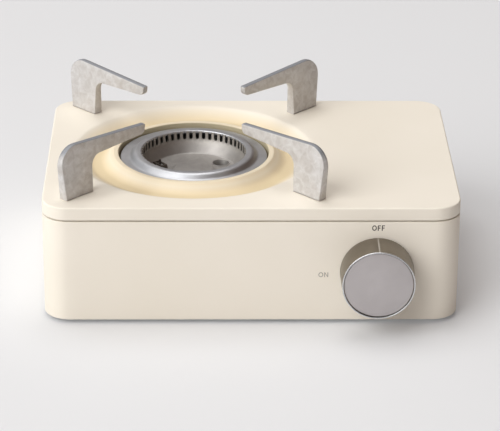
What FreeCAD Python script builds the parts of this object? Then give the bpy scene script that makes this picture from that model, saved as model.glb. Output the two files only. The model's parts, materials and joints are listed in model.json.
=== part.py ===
import FreeCAD, Part
import math
import os

# A table-top cassette stove: a low steel box with a pressed top, a round burner set to the left,
# four cast pan supports and one control knob. Millimetres, X to the right, Y to the back, Z up.
# The origin is on the table, under the middle of the whole object, knob included.

os.makedirs("parts", exist_ok=True)
V = FreeCAD.Vector
UP = V(0, 0, 1)
RIGHT = V(1, 0, 0)
BACK = V(0, 1, 0)

# Casing
CASE_WIDTH = 280.0
CASE_DEPTH = 195.0
CASE_TOP = 85.0
FOOT_HEIGHT = 3.0
SKIRT_HEIGHT = 9.0
SEAM_GAP = 0.8
CORNER_RADIUS = 18.0
PLATE_EDGE_RADIUS = 1.4
SHEET = 0.8
STRAP = 1.2
BEND_RADIUS = 1.6
FLANGE_WIDTH = 9.0
UPSTAND_RISE = 5.0
UPSTAND_DROP = 4.0
SLIP = 0.3
# Cosine above which a face or an edge counts as square on to an axis
ALONG = 0.9

# Feet, posts and screws
FOOT_RADIUS = 8.0
FOOT_STEM_RADIUS = 2.5
FOOT_STEM_RISE = 2.2
FOOT_INSET_X = 17.0
FOOT_INSET_Y = 24.0
POST_RADIUS = 3.5
SCREW_RADIUS = 1.5
SCREW_HEAD_RADIUS = 2.8
SCREW_HEAD_HEIGHT = 1.5
SCREW_GRIP = 4.5

# Vents in the base, under the burner
VENT_WIDTH = 4.0
VENT_LENGTH = 24.0
VENT_PITCH = 11.0
VENT_COUNT = 7

# Knob and its shaft
KNOB_PROUD = 23.0
KNOB_RADIUS = 24.8
KNOB_INSET = 56.0
KNOB_GAP = 0.8
KNOB_WALL = 2.4
KNOB_WEB = 3.0
KNOB_RIM = 1.8
KNOB_RIM_DEPTH = 0.6
KNOB_FACE_THICKNESS = 1.2
HUB_RADIUS = 7.0
HUB_LENGTH = 13.0
MARKER_WIDTH = 1.0
MARKER_LENGTH = 21.0
MARKER_INSET = 0.6
MARKER_DEPTH = 0.5
MARKER_PROUD = 0.1
SPINDLE_RADIUS = 3.0
RUNNING = 0.05
BUSH_WALL = 2.0
BUSH_FLANGE = 1.5

# Igniter
CAM_RADIUS = 12.0
CAM_RISE = 4.5
CAM_TRAVEL = 90.0
CAM_OVERRUN = 12.0
CAM_STEP = 20.0
CAM_POINTS = 12
CAM_THICKNESS = 5.0
CAM_SETBACK = 4.0
CAM_GAP = 0.4
PLUNGER_RADIUS = 3.0
PLUNGER_SHOWN = 5.4
PLUNGER_HIDDEN = 8.0
PLUNGER_ROOM = 1.5
IGNITER_LENGTH = 22.0
IGNITER_WIDTH = 10.0
IGNITER_HEIGHT = 11.0
IGNITER_EDGE = 1.2
LEAD_RADIUS = 1.5
LEAD_EXIT_INSET = 6.0
LEAD_DROP = 11.0
LEAD_LEAN = 4.0
LEAD_FIRST_X = 19.0
LEAD_FIRST_Y = 6.0
LEAD_SECOND_X = 23.0
LEAD_SECOND_Y = 20.0
LEAD_CLIMB_START = 46.0
LEAD_CLIMB_END = 12.0

# Burner
BURNER_INSET = 101.0
BURNER_BACK = 2.5
HOLE_RADIUS = 52.2
COLLAR_DEPTH = 12.0
COLLAR_DROP = 0.4
COLLAR_CREST = 3.6
GROOVE_INNER = 61.0
GROOVE_OUTER = 71.0
GROOVE_DEPTH = 6.5
RECESS_RADIUS = 83.5
RECESS_BLEND = 5.0
HEAD_RADIUS = 51.4
HEAD_DROP = 3.7
HEAD_THICKNESS = 1.8
CREST_OUTER = 43.4
CREST_SHOULDER = 41.2
CREST_DROP = 0.1
LIP_RADIUS = 37.0
LIP_DEPTH = 1.6
PORT_RADIUS = 36.0
PORT_TOP_DROP = 0.6
PORT_HEIGHT = 5.6
PORT_WIDTH = 2.5
PORT_COUNT = 50
PORT_CUT_INSET = 2.0
PORT_CUT_LENGTH = 5.0
FLAME_WALL = 0.9
FIN_LEAN = 0.2
FIN_FOOT = 1.0
BOWL_CURVE = 6.0
BOWL_FOOT_RADIUS = 31.0
BOWL_DEPTH = 15.0
DISH_PLATEAU = 13.5
DISH_SLOPE = 2.5
DISH_RISE = 1.6
DISH_SEAT = 0.2
AIR_HOLE_RADIUS = 6.0
AIR_HOLE_X = 19.1
AIR_HOLE_Y = 11.7
CHAMBER_WALL = 1.8
CHAMBER_DEPTH = 30.0
CHAMBER_NECK = 2.0
TUBE_RADIUS = 8.0
TUBE_WALL = 1.2
TUBE_SIDE = 40.0
TUBE_DROP = 21.0
TUBE_REACH = 8.0
TUBE_MOUTH_GAP = 3.5
TUBE_FLARE = 2.0
TUBE_FLARE_LENGTH = 5.0
STRAP_WIDTH = 26.0
STRAP_REACH = 48.0
STRAP_FOOT = 14.0

# Spark gap in the bowl
ELECTRODE_X = -23.8
ELECTRODE_Y = 5.2
ELECTRODE_RADIUS = 0.8
ELECTRODE_RISE = 6.2
INSULATOR_RADIUS = 3.0
INSULATOR_DROP = 11.0
INSULATOR_RISE = 2.0
HOOD_LENGTH = 11.0
HOOD_WIDTH = 5.0
HOOD_RISE = 3.4
HOOD_SLIT_LENGTH = 7.4
HOOD_SLIT_WIDTH = 2.4
HOOD_TURN = -51.7

# Gas line
JET_RADIUS = 3.6
JET_LENGTH = 7.0
JET_NOSE_RADIUS = 2.2
JET_BORE = 0.6
HOLDER_LENGTH = 8.0
HOLDER_HALF = 7.0
PIPE_RADIUS = 2.5
PIPE_WALL = 0.8
PIPE_BEND = 6.0
PORT_BORE = 1.2

# Cartridge and what holds it
CARTRIDGE_RADIUS = 34.0
CARTRIDGE_FIT = 0.8
RAIL_ANGLE = 40.0
RAIL_LIP_UP = 7.0
RAIL_LIP_DOWN = 4.5
RAIL_FOOT = 8.5
RAIL_START = 10.0
DIVIDER_INSET = 37.7
DIVIDER_FLANGE = 10.0
DIVIDER_TOP = 74.0
DIVIDER_FRONT = 16.0
HEAT_PLATE_WIDTH = 24.0
HEAT_PLATE_OFFSET = 22.0
HEAT_PLATE_REACH = 14.0
HEAT_PLATE_RISER = 49.0
HEAT_PLATE_TONGUE = 22.0

# Regulator
BODY_HALF_WIDTH = 19.0
BODY_HALF_HEIGHT = 17.0
BODY_SETBACK = 16.0
BODY_LENGTH = 34.0
BOSS_RADIUS = 10.0
BOSS_LENGTH = 6.0
PLUG_RADIUS = 7.0
PLUG_LENGTH = 18.0
SOCKET_RADIUS = 25.0
SOCKET_LENGTH = 12.0
SOCKET_BORE_RADIUS = 16.4
SOCKET_BORE_DEPTH = 8.0
STEM_HOLE_RADIUS = 2.3
SEAL_RADIUS = 3.6
SEAL_THICKNESS = 1.6
MAGNET_RADIUS = 3.0
MAGNET_DEPTH = 4.0
MAGNET_COUNT = 3
DIAPHRAGM_RADIUS = 21.0
DIAPHRAGM_SEAT = 4.0
SEAT_CLEARANCE = 0.5
DIAPHRAGM_THICKNESS = 0.8
COVER_HEIGHT = 9.0
COVER_WALL = 1.4
SPRING_RADIUS = 6.0
SPRING_WIRE = 1.2
COVER_SCREWS = 4

# Pan supports: reach is measured from the burner's centre, rise from the top plate
SUPPORT_THICKNESS = 7.2
SUPPORT_TOP_THICKNESS = 3.8
SUPPORT_FOOT_INNER = 98.5
SUPPORT_FOOT_OUTER = 121.5
SUPPORT_SHOULDER = 125.8
SUPPORT_SHOULDER_RISE = 38.4
SUPPORT_TIP = 49.6
SUPPORT_TIP_RISE = 34.5
SUPPORT_TIP_DEPTH = 6.7
SUPPORT_INNER_RISE = 25.4
SUPPORT_SHOULDER_RADIUS = 13.0
SUPPORT_TIP_RADIUS = 4.5
SUPPORT_INNER_RADIUS = 7.0
SUPPORT_EDGE = 0.8
SUPPORT_TURNS = {"front_left": 225, "front_right": 315, "back_left": 135, "back_right": 45}
SUPPORT_SCREW_INSET = 6.0

# Places that follow from the sizes above
CASE_Y = KNOB_PROUD / 2
FRONT_Y = CASE_Y - CASE_DEPTH / 2
BACK_Y = CASE_Y + CASE_DEPTH / 2
SEAM_Z = CASE_TOP - SKIRT_HEIGHT
WALL_TOP = SEAM_Z - SEAM_GAP
BASE_TOP = FOOT_HEIGHT + SHEET
FLANGE_TOP = BASE_TOP + SHEET
PLATE_UNDER = CASE_TOP - SHEET
KNOB_Z = (FOOT_HEIGHT + WALL_TOP) / 2
BURNER_Y = CASE_Y + BURNER_BACK
KNOB_X = CASE_WIDTH / 2 - KNOB_INSET
BURNER_X = BURNER_INSET - CASE_WIDTH / 2
DIVIDER_X = KNOB_X - DIVIDER_INSET
BURNER_AXIS = V(BURNER_X, BURNER_Y, 0)
KNOB_AXIS = V(KNOB_X, 0, KNOB_Z)
CHAMBER_FLOOR = CASE_TOP - CHAMBER_DEPTH
TUBE_Y = BURNER_Y - TUBE_SIDE
TUBE_Z = CASE_TOP - TUBE_DROP
TUBE_START = BURNER_X + TUBE_REACH
DIVIDER_LEFT = DIVIDER_X - SHEET
DIVIDER_START = FRONT_Y + DIVIDER_FRONT
HOLDER_LEFT = DIVIDER_LEFT - HOLDER_LENGTH
TUBE_LENGTH = HOLDER_LEFT - TUBE_MOUTH_GAP - TUBE_START
BODY_FRONT = FRONT_Y + BODY_SETBACK
BODY_BACK = BODY_FRONT + BODY_LENGTH
PLUG_FRONT = BODY_FRONT - BOSS_LENGTH + 2
PORT_Y = PLUG_FRONT + PLUG_LENGTH / 2
PLUG_SOCKET = PLUG_LENGTH / 3
SOCKET_BACK = BODY_BACK + SOCKET_LENGTH
SOCKET_FLOOR = SOCKET_BACK - SOCKET_BORE_DEPTH
BODY_UNDER = KNOB_Z - BODY_HALF_HEIGHT
BODY_TOP = KNOB_Z + BODY_HALF_HEIGHT
SEAT_TOP = BODY_TOP + DIAPHRAGM_SEAT
COVER_UNDER = SEAT_TOP + DIAPHRAGM_THICKNESS
BODY_MIDDLE = BODY_BACK - BODY_LENGTH / 2
COVER_Y = BODY_BACK - DIAPHRAGM_RADIUS - SLIP
BAY_RADIUS = CARTRIDGE_RADIUS + CARTRIDGE_FIT
CAM_FRONT = FRONT_Y + CAM_SETBACK
CAM_MIDDLE = CAM_FRONT + CAM_THICKNESS / 2
PLUNGER_TIP = KNOB_X + CAM_RADIUS + CAM_GAP
IGNITER_LEFT = PLUNGER_TIP + PLUNGER_SHOWN
IGNITER_RIGHT = IGNITER_LEFT + IGNITER_LENGTH
IGNITER_UNDER = KNOB_Z - IGNITER_HEIGHT / 2
DISH_FLOOR = CASE_TOP - BOWL_DEPTH - DISH_SEAT
SPARK = V(BURNER_X + ELECTRODE_X, BURNER_Y + ELECTRODE_Y, 0)
SUPPORT_SCREW_REACHES = (
    SUPPORT_FOOT_INNER + SUPPORT_SCREW_INSET,
    SUPPORT_FOOT_OUTER - SUPPORT_SCREW_INSET,
)
BASE_SCREW_PLACES = []


def corner_arc(before, corner, after, radius):
    """Start, middle and end of the tangent arc that rounds one corner."""
    back_way = (before - corner).normalize()
    on_way = (after - corner).normalize()
    half = back_way.getAngle(on_way) / 2
    reach = radius / math.tan(half)
    inwards = (back_way + on_way).normalize() * (radius / math.sin(half) - radius)
    return corner + back_way * reach, corner + inwards, corner + on_way * reach


def rounded_wire(points, radii, closed=True):
    """A line through the points with its corners rounded by the radii."""
    last = len(points) - 1
    corners = []
    for i, (point, radius) in enumerate(zip(points, radii)):
        if radius > 0 and (closed or 0 < i < last):
            corners.append(corner_arc(points[i - 1], point, points[(i + 1) % len(points)], radius))
        else:
            corners.append((point, None, point))
    edges = []
    for i, (enter, middle, leave) in enumerate(corners):
        if middle is not None:
            edges.append(Part.Arc(enter, middle, leave).toShape())
        if i < last or closed:
            following = corners[(i + 1) % len(corners)][0]
            if leave.distanceToPoint(following) > 1e-6:
                edges.append(Part.LineSegment(leave, following).toShape())
    return Part.Wire(edges)


def section(outline):
    """Face in the X-Z plane from (across, height, radius) corners."""
    points = [V(across, 0, height) for across, height, radius in outline]
    return Part.Face(rounded_wire(points, [radius for across, height, radius in outline]))


def left_normal(start, end):
    """Unit vector to the left of the way from start to end, in the X-Z plane."""
    way = (end - start).normalize()
    return V(-way.z, 0, way.x)


def turns_left(before, point, after):
    """Whether a path in the X-Z plane turns left at a point."""
    first = point - before
    second = after - point
    return first.x * second.z - first.z * second.x > 0


def sheet_section(path, thickness):
    """Face of a bent sheet: (across, height, radius) along one side, the metal to the path's left."""
    points = [V(across, 0, height) for across, height, radius in path]
    radii = [radius for across, height, radius in path]
    last = len(points) - 1
    far_points = []
    far_radii = []
    for i, point in enumerate(points):
        first = left_normal(points[max(i - 1, 0)], points[max(i, 1)])
        second = left_normal(points[min(i, last - 1)], points[min(i + 1, last)])
        both = first + second
        far_points.append(point + both * (2 * thickness / both.dot(both)))
        if 0 < i < last and radii[i] > 0:
            inner = turns_left(points[i - 1], point, points[i + 1])
            far_radii.append(max(radii[i] - thickness, 0) if inner else radii[i] + thickness)
        else:
            far_radii.append(0)
    near_radii = [0] + radii[1:-1] + [0]
    loop = points + far_points[::-1]
    return Part.Face(rounded_wire(loop, near_radii + far_radii[::-1]))


def turned(face):
    """A round solid from a section drawn at the burner's axis."""
    face.translate(BURNER_AXIS)
    return face.revolve(BURNER_AXIS, UP, 360)


def along_y(face, start, end):
    """A section pushed along Y from start to end."""
    face.translate(V(0, start, 0))
    return face.extrude(V(0, end - start, 0))


def bar(radius, length, start=V(0, 0, 0), way=UP):
    """A round bar from a point along a way."""
    return Part.makeCylinder(radius, length, start, way)


def knob_bar(radius, start, end):
    """A round bar on the knob's axis between two depths."""
    return bar(radius, end - start, KNOB_AXIS + BACK * start, BACK)


def block(low, high):
    """A box between two corners."""
    size = high - low
    return Part.makeBox(size.x, size.y, size.z, low)


def case_block(inset, low, high):
    """The casing's plan outline, moved in by inset, between two heights."""
    half_width = CASE_WIDTH / 2 - inset
    half_depth = CASE_DEPTH / 2 - inset
    corners = [(-1, -1), (1, -1), (1, 1), (-1, 1)]
    points = [V(x * half_width, CASE_Y + y * half_depth, low) for x, y in corners]
    wire = rounded_wire(points, [CORNER_RADIUS - inset] * 4)
    return Part.Face(wire).extrude(V(0, 0, high - low))


def case_band(outer, inner, low, high):
    """A wall that follows the casing's outline between two insets."""
    return case_block(outer, low, high).cut(case_block(inner, low, high))


def joined(solids):
    """One solid from several that touch."""
    return solids[0].multiFuse(solids[1:]).removeSplitter()


def top_edges(solid):
    """Edges that lie flat at a solid's highest level."""
    top = solid.BoundBox.ZMax
    return [e for e in solid.Edges if e.BoundBox.ZMin > top - 1e-4]


def swept(points, radius, bend):
    """A round rod along straight runs joined by tangent arcs."""
    route = rounded_wire(points, [bend] * len(points), closed=False)
    way = points[1] - points[0]
    circle = Part.Wire(Part.makeCircle(radius, points[0], way))
    rod = Part.BRepOffsetAPI.MakePipeShell(route)
    rod.add(circle)
    rod.build()
    rod.makeSolid()
    return rod.shape()


def base_screw(x, y, top=BASE_TOP + SCREW_GRIP):
    """Note a screw place in the base and return its hole."""
    BASE_SCREW_PLACES.append((x, y, top))
    return bar(SCREW_RADIUS + SLIP / 2, 3 * FOOT_HEIGHT, V(x, y, 0))


def screw_holes(places, low, high):
    """Clearance holes for screws between two heights."""
    return [bar(SCREW_RADIUS + SLIP / 2, high - low, V(x, y, low)) for x, y in places]


def base_screw_holes():
    """Clearance holes for every screw noted in the base so far."""
    places = [(x, y) for x, y, top in BASE_SCREW_PLACES]
    return screw_holes(places, 0, FLANGE_TOP + SLIP)


def screw_up(x, y, head_top, tip):
    """A round-headed screw that points up."""
    head = bar(SCREW_HEAD_RADIUS, SCREW_HEAD_HEIGHT, V(x, y, head_top - SCREW_HEAD_HEIGHT))
    return head.fuse(bar(SCREW_RADIUS, tip - head_top, V(x, y, head_top)))


def screws_up(places, head_top, tip):
    """Alike screws that point up, as a group."""
    return Part.makeCompound([screw_up(x, y, head_top, tip) for x, y in places])


def save(name, shape):
    """Write one piece and print its size."""
    shape.exportStep("parts/" + name + ".step")
    print(name, len(shape.Solids), round(shape.Volume, 1), shape.isValid())


def foot_places():
    """Feet by name, near the base's corners."""
    x = CASE_WIDTH / 2 - FOOT_INSET_X
    y = CASE_DEPTH / 2 - FOOT_INSET_Y
    return {
        "front_left": (-x, CASE_Y - y),
        "front_right": (x, CASE_Y - y),
        "back_left": (-x, CASE_Y + y),
        "back_right": (x, CASE_Y + y),
    }


def post_places():
    """Posts in the corners; the front right one stands at the side wall, behind the igniter."""
    x = CASE_WIDTH / 2 - CORNER_RADIUS * 2 / 3
    y = CASE_DEPTH / 2 - CORNER_RADIUS * 2 / 3
    beside = CASE_WIDTH / 2 - 2 * SHEET - 2 * SLIP - POST_RADIUS
    return [(-x, CASE_Y - y), (beside, FRONT_Y + 2 * CORNER_RADIUS), (-x, CASE_Y + y), (x, CASE_Y + y)]


def flange_screw_places():
    """Screws that hold the base to the casing's bottom flange."""
    inset = SHEET + FLANGE_WIDTH / 2
    third = CASE_WIDTH / 3
    places = []
    for x in (-third, third / 4):
        places.append((x, FRONT_Y + inset))
        places.append((x, BACK_Y - inset))
    places.append((-CASE_WIDTH / 2 + inset, CASE_Y))
    places.append((CASE_WIDTH / 2 - inset, CASE_Y))
    return places


def support_screw_places():
    """Two screw places under each pan support, by its turn."""
    places = []
    for turn in SUPPORT_TURNS.values():
        for reach in SUPPORT_SCREW_REACHES:
            x = BURNER_X + reach * math.cos(math.radians(turn))
            y = BURNER_Y + reach * math.sin(math.radians(turn))
            places.append((x, y))
    return places


def recess_path():
    """The pressed recess and its collar, from the flat plate in to the foot of the collar."""
    crest = CASE_TOP - COLLAR_DROP
    floor = CASE_TOP - GROOVE_DEPTH
    return [
        (RECESS_RADIUS + RECESS_BLEND, CASE_TOP, 0),
        (RECESS_RADIUS, CASE_TOP, 7),
        (GROOVE_OUTER, floor, 8),
        (GROOVE_INNER, floor, 3.5),
        (HOLE_RADIUS + COLLAR_CREST, crest, 1.5),
        (HOLE_RADIUS, crest, 2.0),
        (HOLE_RADIUS, CASE_TOP - COLLAR_DEPTH, 0),
    ]


def top_plate():
    """Pressed top with a skirt, the burner recess and the supports' screw holes."""
    outer = case_block(0, SEAM_Z, CASE_TOP)
    outer = outer.makeFillet(PLATE_EDGE_RADIUS, top_edges(outer))
    inner = case_block(SHEET, SEAM_Z, PLATE_UNDER)
    inner = inner.makeFillet(max(PLATE_EDGE_RADIUS - SHEET, 0.1), top_edges(inner))
    plate = outer.cut(inner)
    plate = plate.cut(bar(RECESS_RADIUS + RECESS_BLEND, CASE_TOP, BURNER_AXIS))
    plate = joined([plate, turned(sheet_section(recess_path(), SHEET))])
    return plate.cut(screw_holes(support_screw_places(), SEAM_Z, CASE_TOP + SLIP))


def bay_opening():
    """The arched way in for the cartridge, through the back wall."""
    start = BACK_Y - 2 * SHEET
    end = BACK_Y + SHEET
    below = block(V(KNOB_X - BAY_RADIUS, start, 0), V(KNOB_X + BAY_RADIUS, end, KNOB_Z))
    above_flange = block(V(0, start, FLANGE_TOP + SLIP), V(CASE_WIDTH, end, CASE_TOP))
    return knob_bar(BAY_RADIUS, start, end).fuse(below).common(above_flange)


def lower_casing():
    """Painted steel box: four walls, a bottom flange and an upstand inside the top plate's skirt."""
    wall = case_band(0, SHEET, FOOT_HEIGHT, WALL_TOP)
    flange = case_band(SHEET, SHEET + FLANGE_WIDTH, BASE_TOP, FLANGE_TOP)
    inner = SHEET + SLIP
    joggle = case_band(SHEET, inner + SHEET, WALL_TOP - UPSTAND_DROP, WALL_TOP - SHEET)
    upstand = case_band(inner, inner + SHEET, WALL_TOP - UPSTAND_DROP, SEAM_Z + UPSTAND_RISE)
    box = joined([wall, flange, joggle, upstand])
    bush_hole = knob_bar(SPINDLE_RADIUS + BUSH_WALL + SLIP / 2, FRONT_Y - SHEET, FRONT_Y + 2 * SHEET)
    return box.cut([bush_hole, bay_opening()] + base_screw_holes())


def vent_slots():
    """Air slots in the base below the burner."""
    slots = []
    half = V(VENT_WIDTH / 2, VENT_LENGTH / 2, 0)
    for i in range(VENT_COUNT):
        middle = BURNER_AXIS + RIGHT * ((i - (VENT_COUNT - 1) / 2) * VENT_PITCH)
        slot = block(middle - half, middle + half + UP * BASE_TOP)
        ends = [e for e in slot.Edges if abs(e.tangentAt(e.FirstParameter).z) > ALONG]
        slots.append(slot.makeFillet(VENT_WIDTH * 0.49, ends))
    return slots


def bottom_plate():
    """Flat base inside the walls, with vents and holes for feet and screws."""
    plate = case_block(SHEET + SLIP, FOOT_HEIGHT, BASE_TOP)
    stem_hole = FOOT_STEM_RADIUS + SLIP / 2
    foot_holes = [bar(stem_hole, BASE_TOP + SLIP, V(x, y, 0)) for x, y in foot_places().values()]
    return plate.cut(foot_holes + base_screw_holes() + vent_slots())


def foot(x, y):
    """Rubber foot with a stem that pushes through the base."""
    pad = bar(FOOT_RADIUS, FOOT_HEIGHT, V(x, y, 0))
    low_edge = [e for e in pad.Edges if e.BoundBox.ZMax < 1e-4]
    pad = pad.makeFillet(FOOT_HEIGHT / 5, low_edge)
    return pad.fuse(bar(FOOT_STEM_RADIUS, SHEET + FOOT_STEM_RISE, V(x, y, FOOT_HEIGHT)))


def corner_posts():
    """Posts that tie the top plate to the base."""
    posts = []
    for x, y in post_places():
        post = bar(POST_RADIUS, PLATE_UNDER - FLANGE_TOP, V(x, y, FLANGE_TOP))
        bore = bar(SCREW_RADIUS, SCREW_GRIP + 1, V(x, y, FLANGE_TOP))
        base_screw(x, y, FLANGE_TOP + SCREW_GRIP)
        posts.append(post.cut(bore))
    return Part.makeCompound(posts)


def support_wedge():
    """The casting's draft: thickest at the foot and thinnest at the shoulder."""
    half_foot = SUPPORT_THICKNESS / 2
    half_top = SUPPORT_TOP_THICKNESS / 2
    corners = [
        V(0, -half_foot, 0),
        V(0, half_foot, 0),
        V(0, half_top, SUPPORT_SHOULDER_RISE),
        V(0, -half_top, SUPPORT_SHOULDER_RISE),
    ]
    return Part.Face(Part.makePolygon(corners + corners[:1])).extrude(V(2 * SUPPORT_SHOULDER, 0, 0))


def pan_support(turn):
    """One cast support: a foot that stands on the plate and an arm towards the burner."""
    face = section([
        (SUPPORT_FOOT_INNER, 0, 0),
        (SUPPORT_FOOT_OUTER, 0, 0),
        (SUPPORT_SHOULDER, SUPPORT_SHOULDER_RISE, SUPPORT_SHOULDER_RADIUS),
        (SUPPORT_TIP, SUPPORT_TIP_RISE, SUPPORT_TIP_RADIUS / 3),
        (SUPPORT_TIP + SUPPORT_EDGE, SUPPORT_TIP_RISE - SUPPORT_TIP_DEPTH, SUPPORT_TIP_RADIUS),
        (SUPPORT_FOOT_INNER - SUPPORT_EDGE, SUPPORT_INNER_RISE, SUPPORT_INNER_RADIUS),
    ])
    half = SUPPORT_THICKNESS / 2
    solid = along_y(face, -half, half).common(support_wedge()).Solids[0]
    flanks = [f for f in solid.Faces if abs(f.normalAt(0, 0).y) > ALONG]
    edges = [e for f in flanks for e in f.Edges if e.BoundBox.ZMax > 1e-3]
    solid = solid.makeFillet(SUPPORT_EDGE, edges)
    for reach in SUPPORT_SCREW_REACHES:
        solid = solid.cut(bar(SCREW_RADIUS, SCREW_GRIP * 2, V(reach, 0, 0)))
    solid.translate(BURNER_AXIS + UP * CASE_TOP)
    return solid.rotate(BURNER_AXIS, UP, turn)


def support_screws():
    """Screws up through the top plate into the pan supports."""
    return screws_up(support_screw_places(), PLATE_UNDER, CASE_TOP + SCREW_GRIP)


def burner_head():
    """Turned ring: a flat flange with a rounded crest and a lip over the flame ports."""
    under = CASE_TOP - HEAD_DROP - HEAD_THICKNESS
    lip_low = CASE_TOP - CREST_DROP - LIP_DEPTH
    return turned(section([
        (HEAD_RADIUS, under, 0.3),
        (HEAD_RADIUS, CASE_TOP - HEAD_DROP, 0.6),
        (CREST_OUTER, CASE_TOP - HEAD_DROP, 1.5),
        (CREST_SHOULDER, CASE_TOP - CREST_DROP, 3.2),
        (LIP_RADIUS, CASE_TOP - CREST_DROP, LIP_DEPTH * 0.95),
        (LIP_RADIUS, lip_low, 0),
        (CREST_SHOULDER - HEAD_THICKNESS, lip_low - 0.2, 0),
        (CREST_OUTER - HEAD_THICKNESS, under, 0),
    ]))


def flame_ring():
    """Bowl wall with a row of flame ports that are open at the top."""
    top = CASE_TOP - PORT_TOP_DROP
    low = top - PORT_HEIGHT
    wall = turned(sheet_section([
        (PORT_RADIUS, top, 0),
        (PORT_RADIUS - FIN_LEAN, low - FIN_FOOT, BOWL_CURVE),
        (BOWL_FOOT_RADIUS, CASE_TOP - BOWL_DEPTH, 0),
    ], FLAME_WALL))
    half = PORT_WIDTH / 2
    inner = PORT_RADIUS - PORT_CUT_INSET
    slot = block(V(inner, -half, low + half), V(inner + PORT_CUT_LENGTH, half, CASE_TOP))
    slot = slot.fuse(bar(half, PORT_CUT_LENGTH, V(inner, 0, low + half), RIGHT))
    slot.translate(BURNER_AXIS)
    slots = [slot.copy().rotate(BURNER_AXIS, UP, i * 360 / PORT_COUNT) for i in range(PORT_COUNT)]
    return wall.cut(slots)


def burner_dish():
    """Bowl floor with a raised middle, an air hole and the spark gap's hole."""
    dish = turned(sheet_section([
        (BOWL_FOOT_RADIUS - SLIP, DISH_FLOOR, 0),
        (DISH_PLATEAU + DISH_SLOPE, DISH_FLOOR, 1.2),
        (DISH_PLATEAU, DISH_FLOOR + DISH_RISE, 1.2),
        (0, DISH_FLOOR + DISH_RISE, 0),
    ], SHEET))
    air = bar(AIR_HOLE_RADIUS, CASE_TOP, BURNER_AXIS + V(AIR_HOLE_X, AIR_HOLE_Y, 0))
    return dish.cut([air, bar(INSULATOR_RADIUS + SLIP / 2, CASE_TOP, SPARK)])


def burner_chamber():
    """Cast ring-shaped trough that feeds the flame ports."""
    outer = HEAD_RADIUS - SLIP
    inner = BOWL_FOOT_RADIUS + SLIP
    top = CASE_TOP - HEAD_DROP - HEAD_THICKNESS
    neck_top = CASE_TOP - BOWL_DEPTH - 2 * SLIP
    ledge = DISH_FLOOR - SHEET
    ring = turned(section([
        (outer, CHAMBER_FLOOR, 2.5),
        (outer, top, 0),
        (outer - CHAMBER_WALL, top, 0),
        (outer - CHAMBER_WALL, CHAMBER_FLOOR + CHAMBER_WALL, 1.5),
        (inner + CHAMBER_NECK, CHAMBER_FLOOR + CHAMBER_WALL, 1.5),
        (inner + CHAMBER_NECK, neck_top, 0),
        (inner, neck_top, 0),
        (inner, ledge, 0),
        (inner - CHAMBER_WALL, ledge, 0),
        (inner - CHAMBER_WALL, ledge - CHAMBER_WALL, 0),
        (inner, ledge - CHAMBER_WALL * 2, 0),
        (inner, CHAMBER_FLOOR, 0),
    ]))
    inlet = bar(TUBE_RADIUS, TUBE_LENGTH, V(TUBE_START, TUBE_Y, TUBE_Z), RIGHT)
    places = [V(x, y, CHAMBER_FLOOR) for x, y in chamber_screw_places()]
    return ring.cut([inlet] + [bar(SCREW_RADIUS, 2 * CHAMBER_WALL, place) for place in places])


def chamber_screw_places():
    """Screw places on the burner's strap, at the middle of the trough."""
    reach = (HEAD_RADIUS + BOWL_FOOT_RADIUS) / 2
    return [(BURNER_X, BURNER_Y - reach), (BURNER_X, BURNER_Y + reach)]


def burner_screws():
    """Screws that hold the burner to its strap."""
    return screws_up(chamber_screw_places(), CHAMBER_FLOOR - STRAP, CHAMBER_FLOOR + CHAMBER_WALL)


def hat_section(half_top, foot_reach, top):
    """Section of a strap with two feet on the base and a flat top."""
    low = BASE_TOP + STRAP
    return sheet_section([
        (half_top + foot_reach, low, 0),
        (half_top, low, BEND_RADIUS),
        (half_top, top, BEND_RADIUS + STRAP),
        (-half_top, top, BEND_RADIUS + STRAP),
        (-half_top, low, BEND_RADIUS),
        (-half_top - foot_reach, low, 0),
    ], STRAP)


def burner_bracket():
    """Strap that carries the burner, its feet on the base in front and behind."""
    face = hat_section(STRAP_REACH, STRAP_FOOT, CHAMBER_FLOOR)
    strap = along_y(face, -STRAP_WIDTH / 2, STRAP_WIDTH / 2)
    strap.rotate(V(0, 0, 0), UP, 90)
    strap.translate(BURNER_AXIS)
    holes = []
    for x in (-STRAP_WIDTH / 4, STRAP_WIDTH / 4):
        for y in (-STRAP_REACH - STRAP_FOOT * 0.55, STRAP_REACH + STRAP_FOOT * 0.55):
            holes.append(base_screw(BURNER_X + x, BURNER_Y + y))
    holes += screw_holes(chamber_screw_places(), CHAMBER_FLOOR - 2 * STRAP, CASE_TOP)
    return strap.cut(holes)


def mixing_tube():
    """Tube with a flared mouth that draws in air and feeds the trough."""
    start = V(TUBE_START, TUBE_Y, TUBE_Z)
    straight = TUBE_LENGTH - TUBE_FLARE_LENGTH
    flare_start = start + RIGHT * straight
    wide = TUBE_RADIUS + TUBE_FLARE
    forms = []
    for wall in (0, TUBE_WALL):
        straight_part = bar(TUBE_RADIUS - wall, straight, start, RIGHT)
        flare = Part.makeCone(TUBE_RADIUS - wall, wide - wall, TUBE_FLARE_LENGTH, flare_start, RIGHT)
        forms.append(straight_part.fuse(flare))
    tube = forms[0].cut(forms[1])
    beyond = bar(HEAD_RADIUS - SLIP - CHAMBER_WALL, CASE_TOP, BURNER_AXIS)
    return tube.cut(beyond)


def gas_jet():
    """Brass jet in the mouth of the mixing tube."""
    start = V(HOLDER_LEFT, TUBE_Y, TUBE_Z)
    left = RIGHT * -1
    half = left * (JET_LENGTH / 2)
    angles = [math.radians(60 * i) for i in range(7)]
    hexagon = [start + V(0, math.cos(a), math.sin(a)) * JET_RADIUS for a in angles]
    nut = Part.Face(Part.makePolygon(hexagon)).extrude(half)
    nose = Part.makeCone(JET_RADIUS * 0.85, JET_NOSE_RADIUS, JET_LENGTH / 2, start + half, left)
    return nut.fuse(nose).cut(bar(JET_BORE, JET_LENGTH, start, left))


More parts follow.
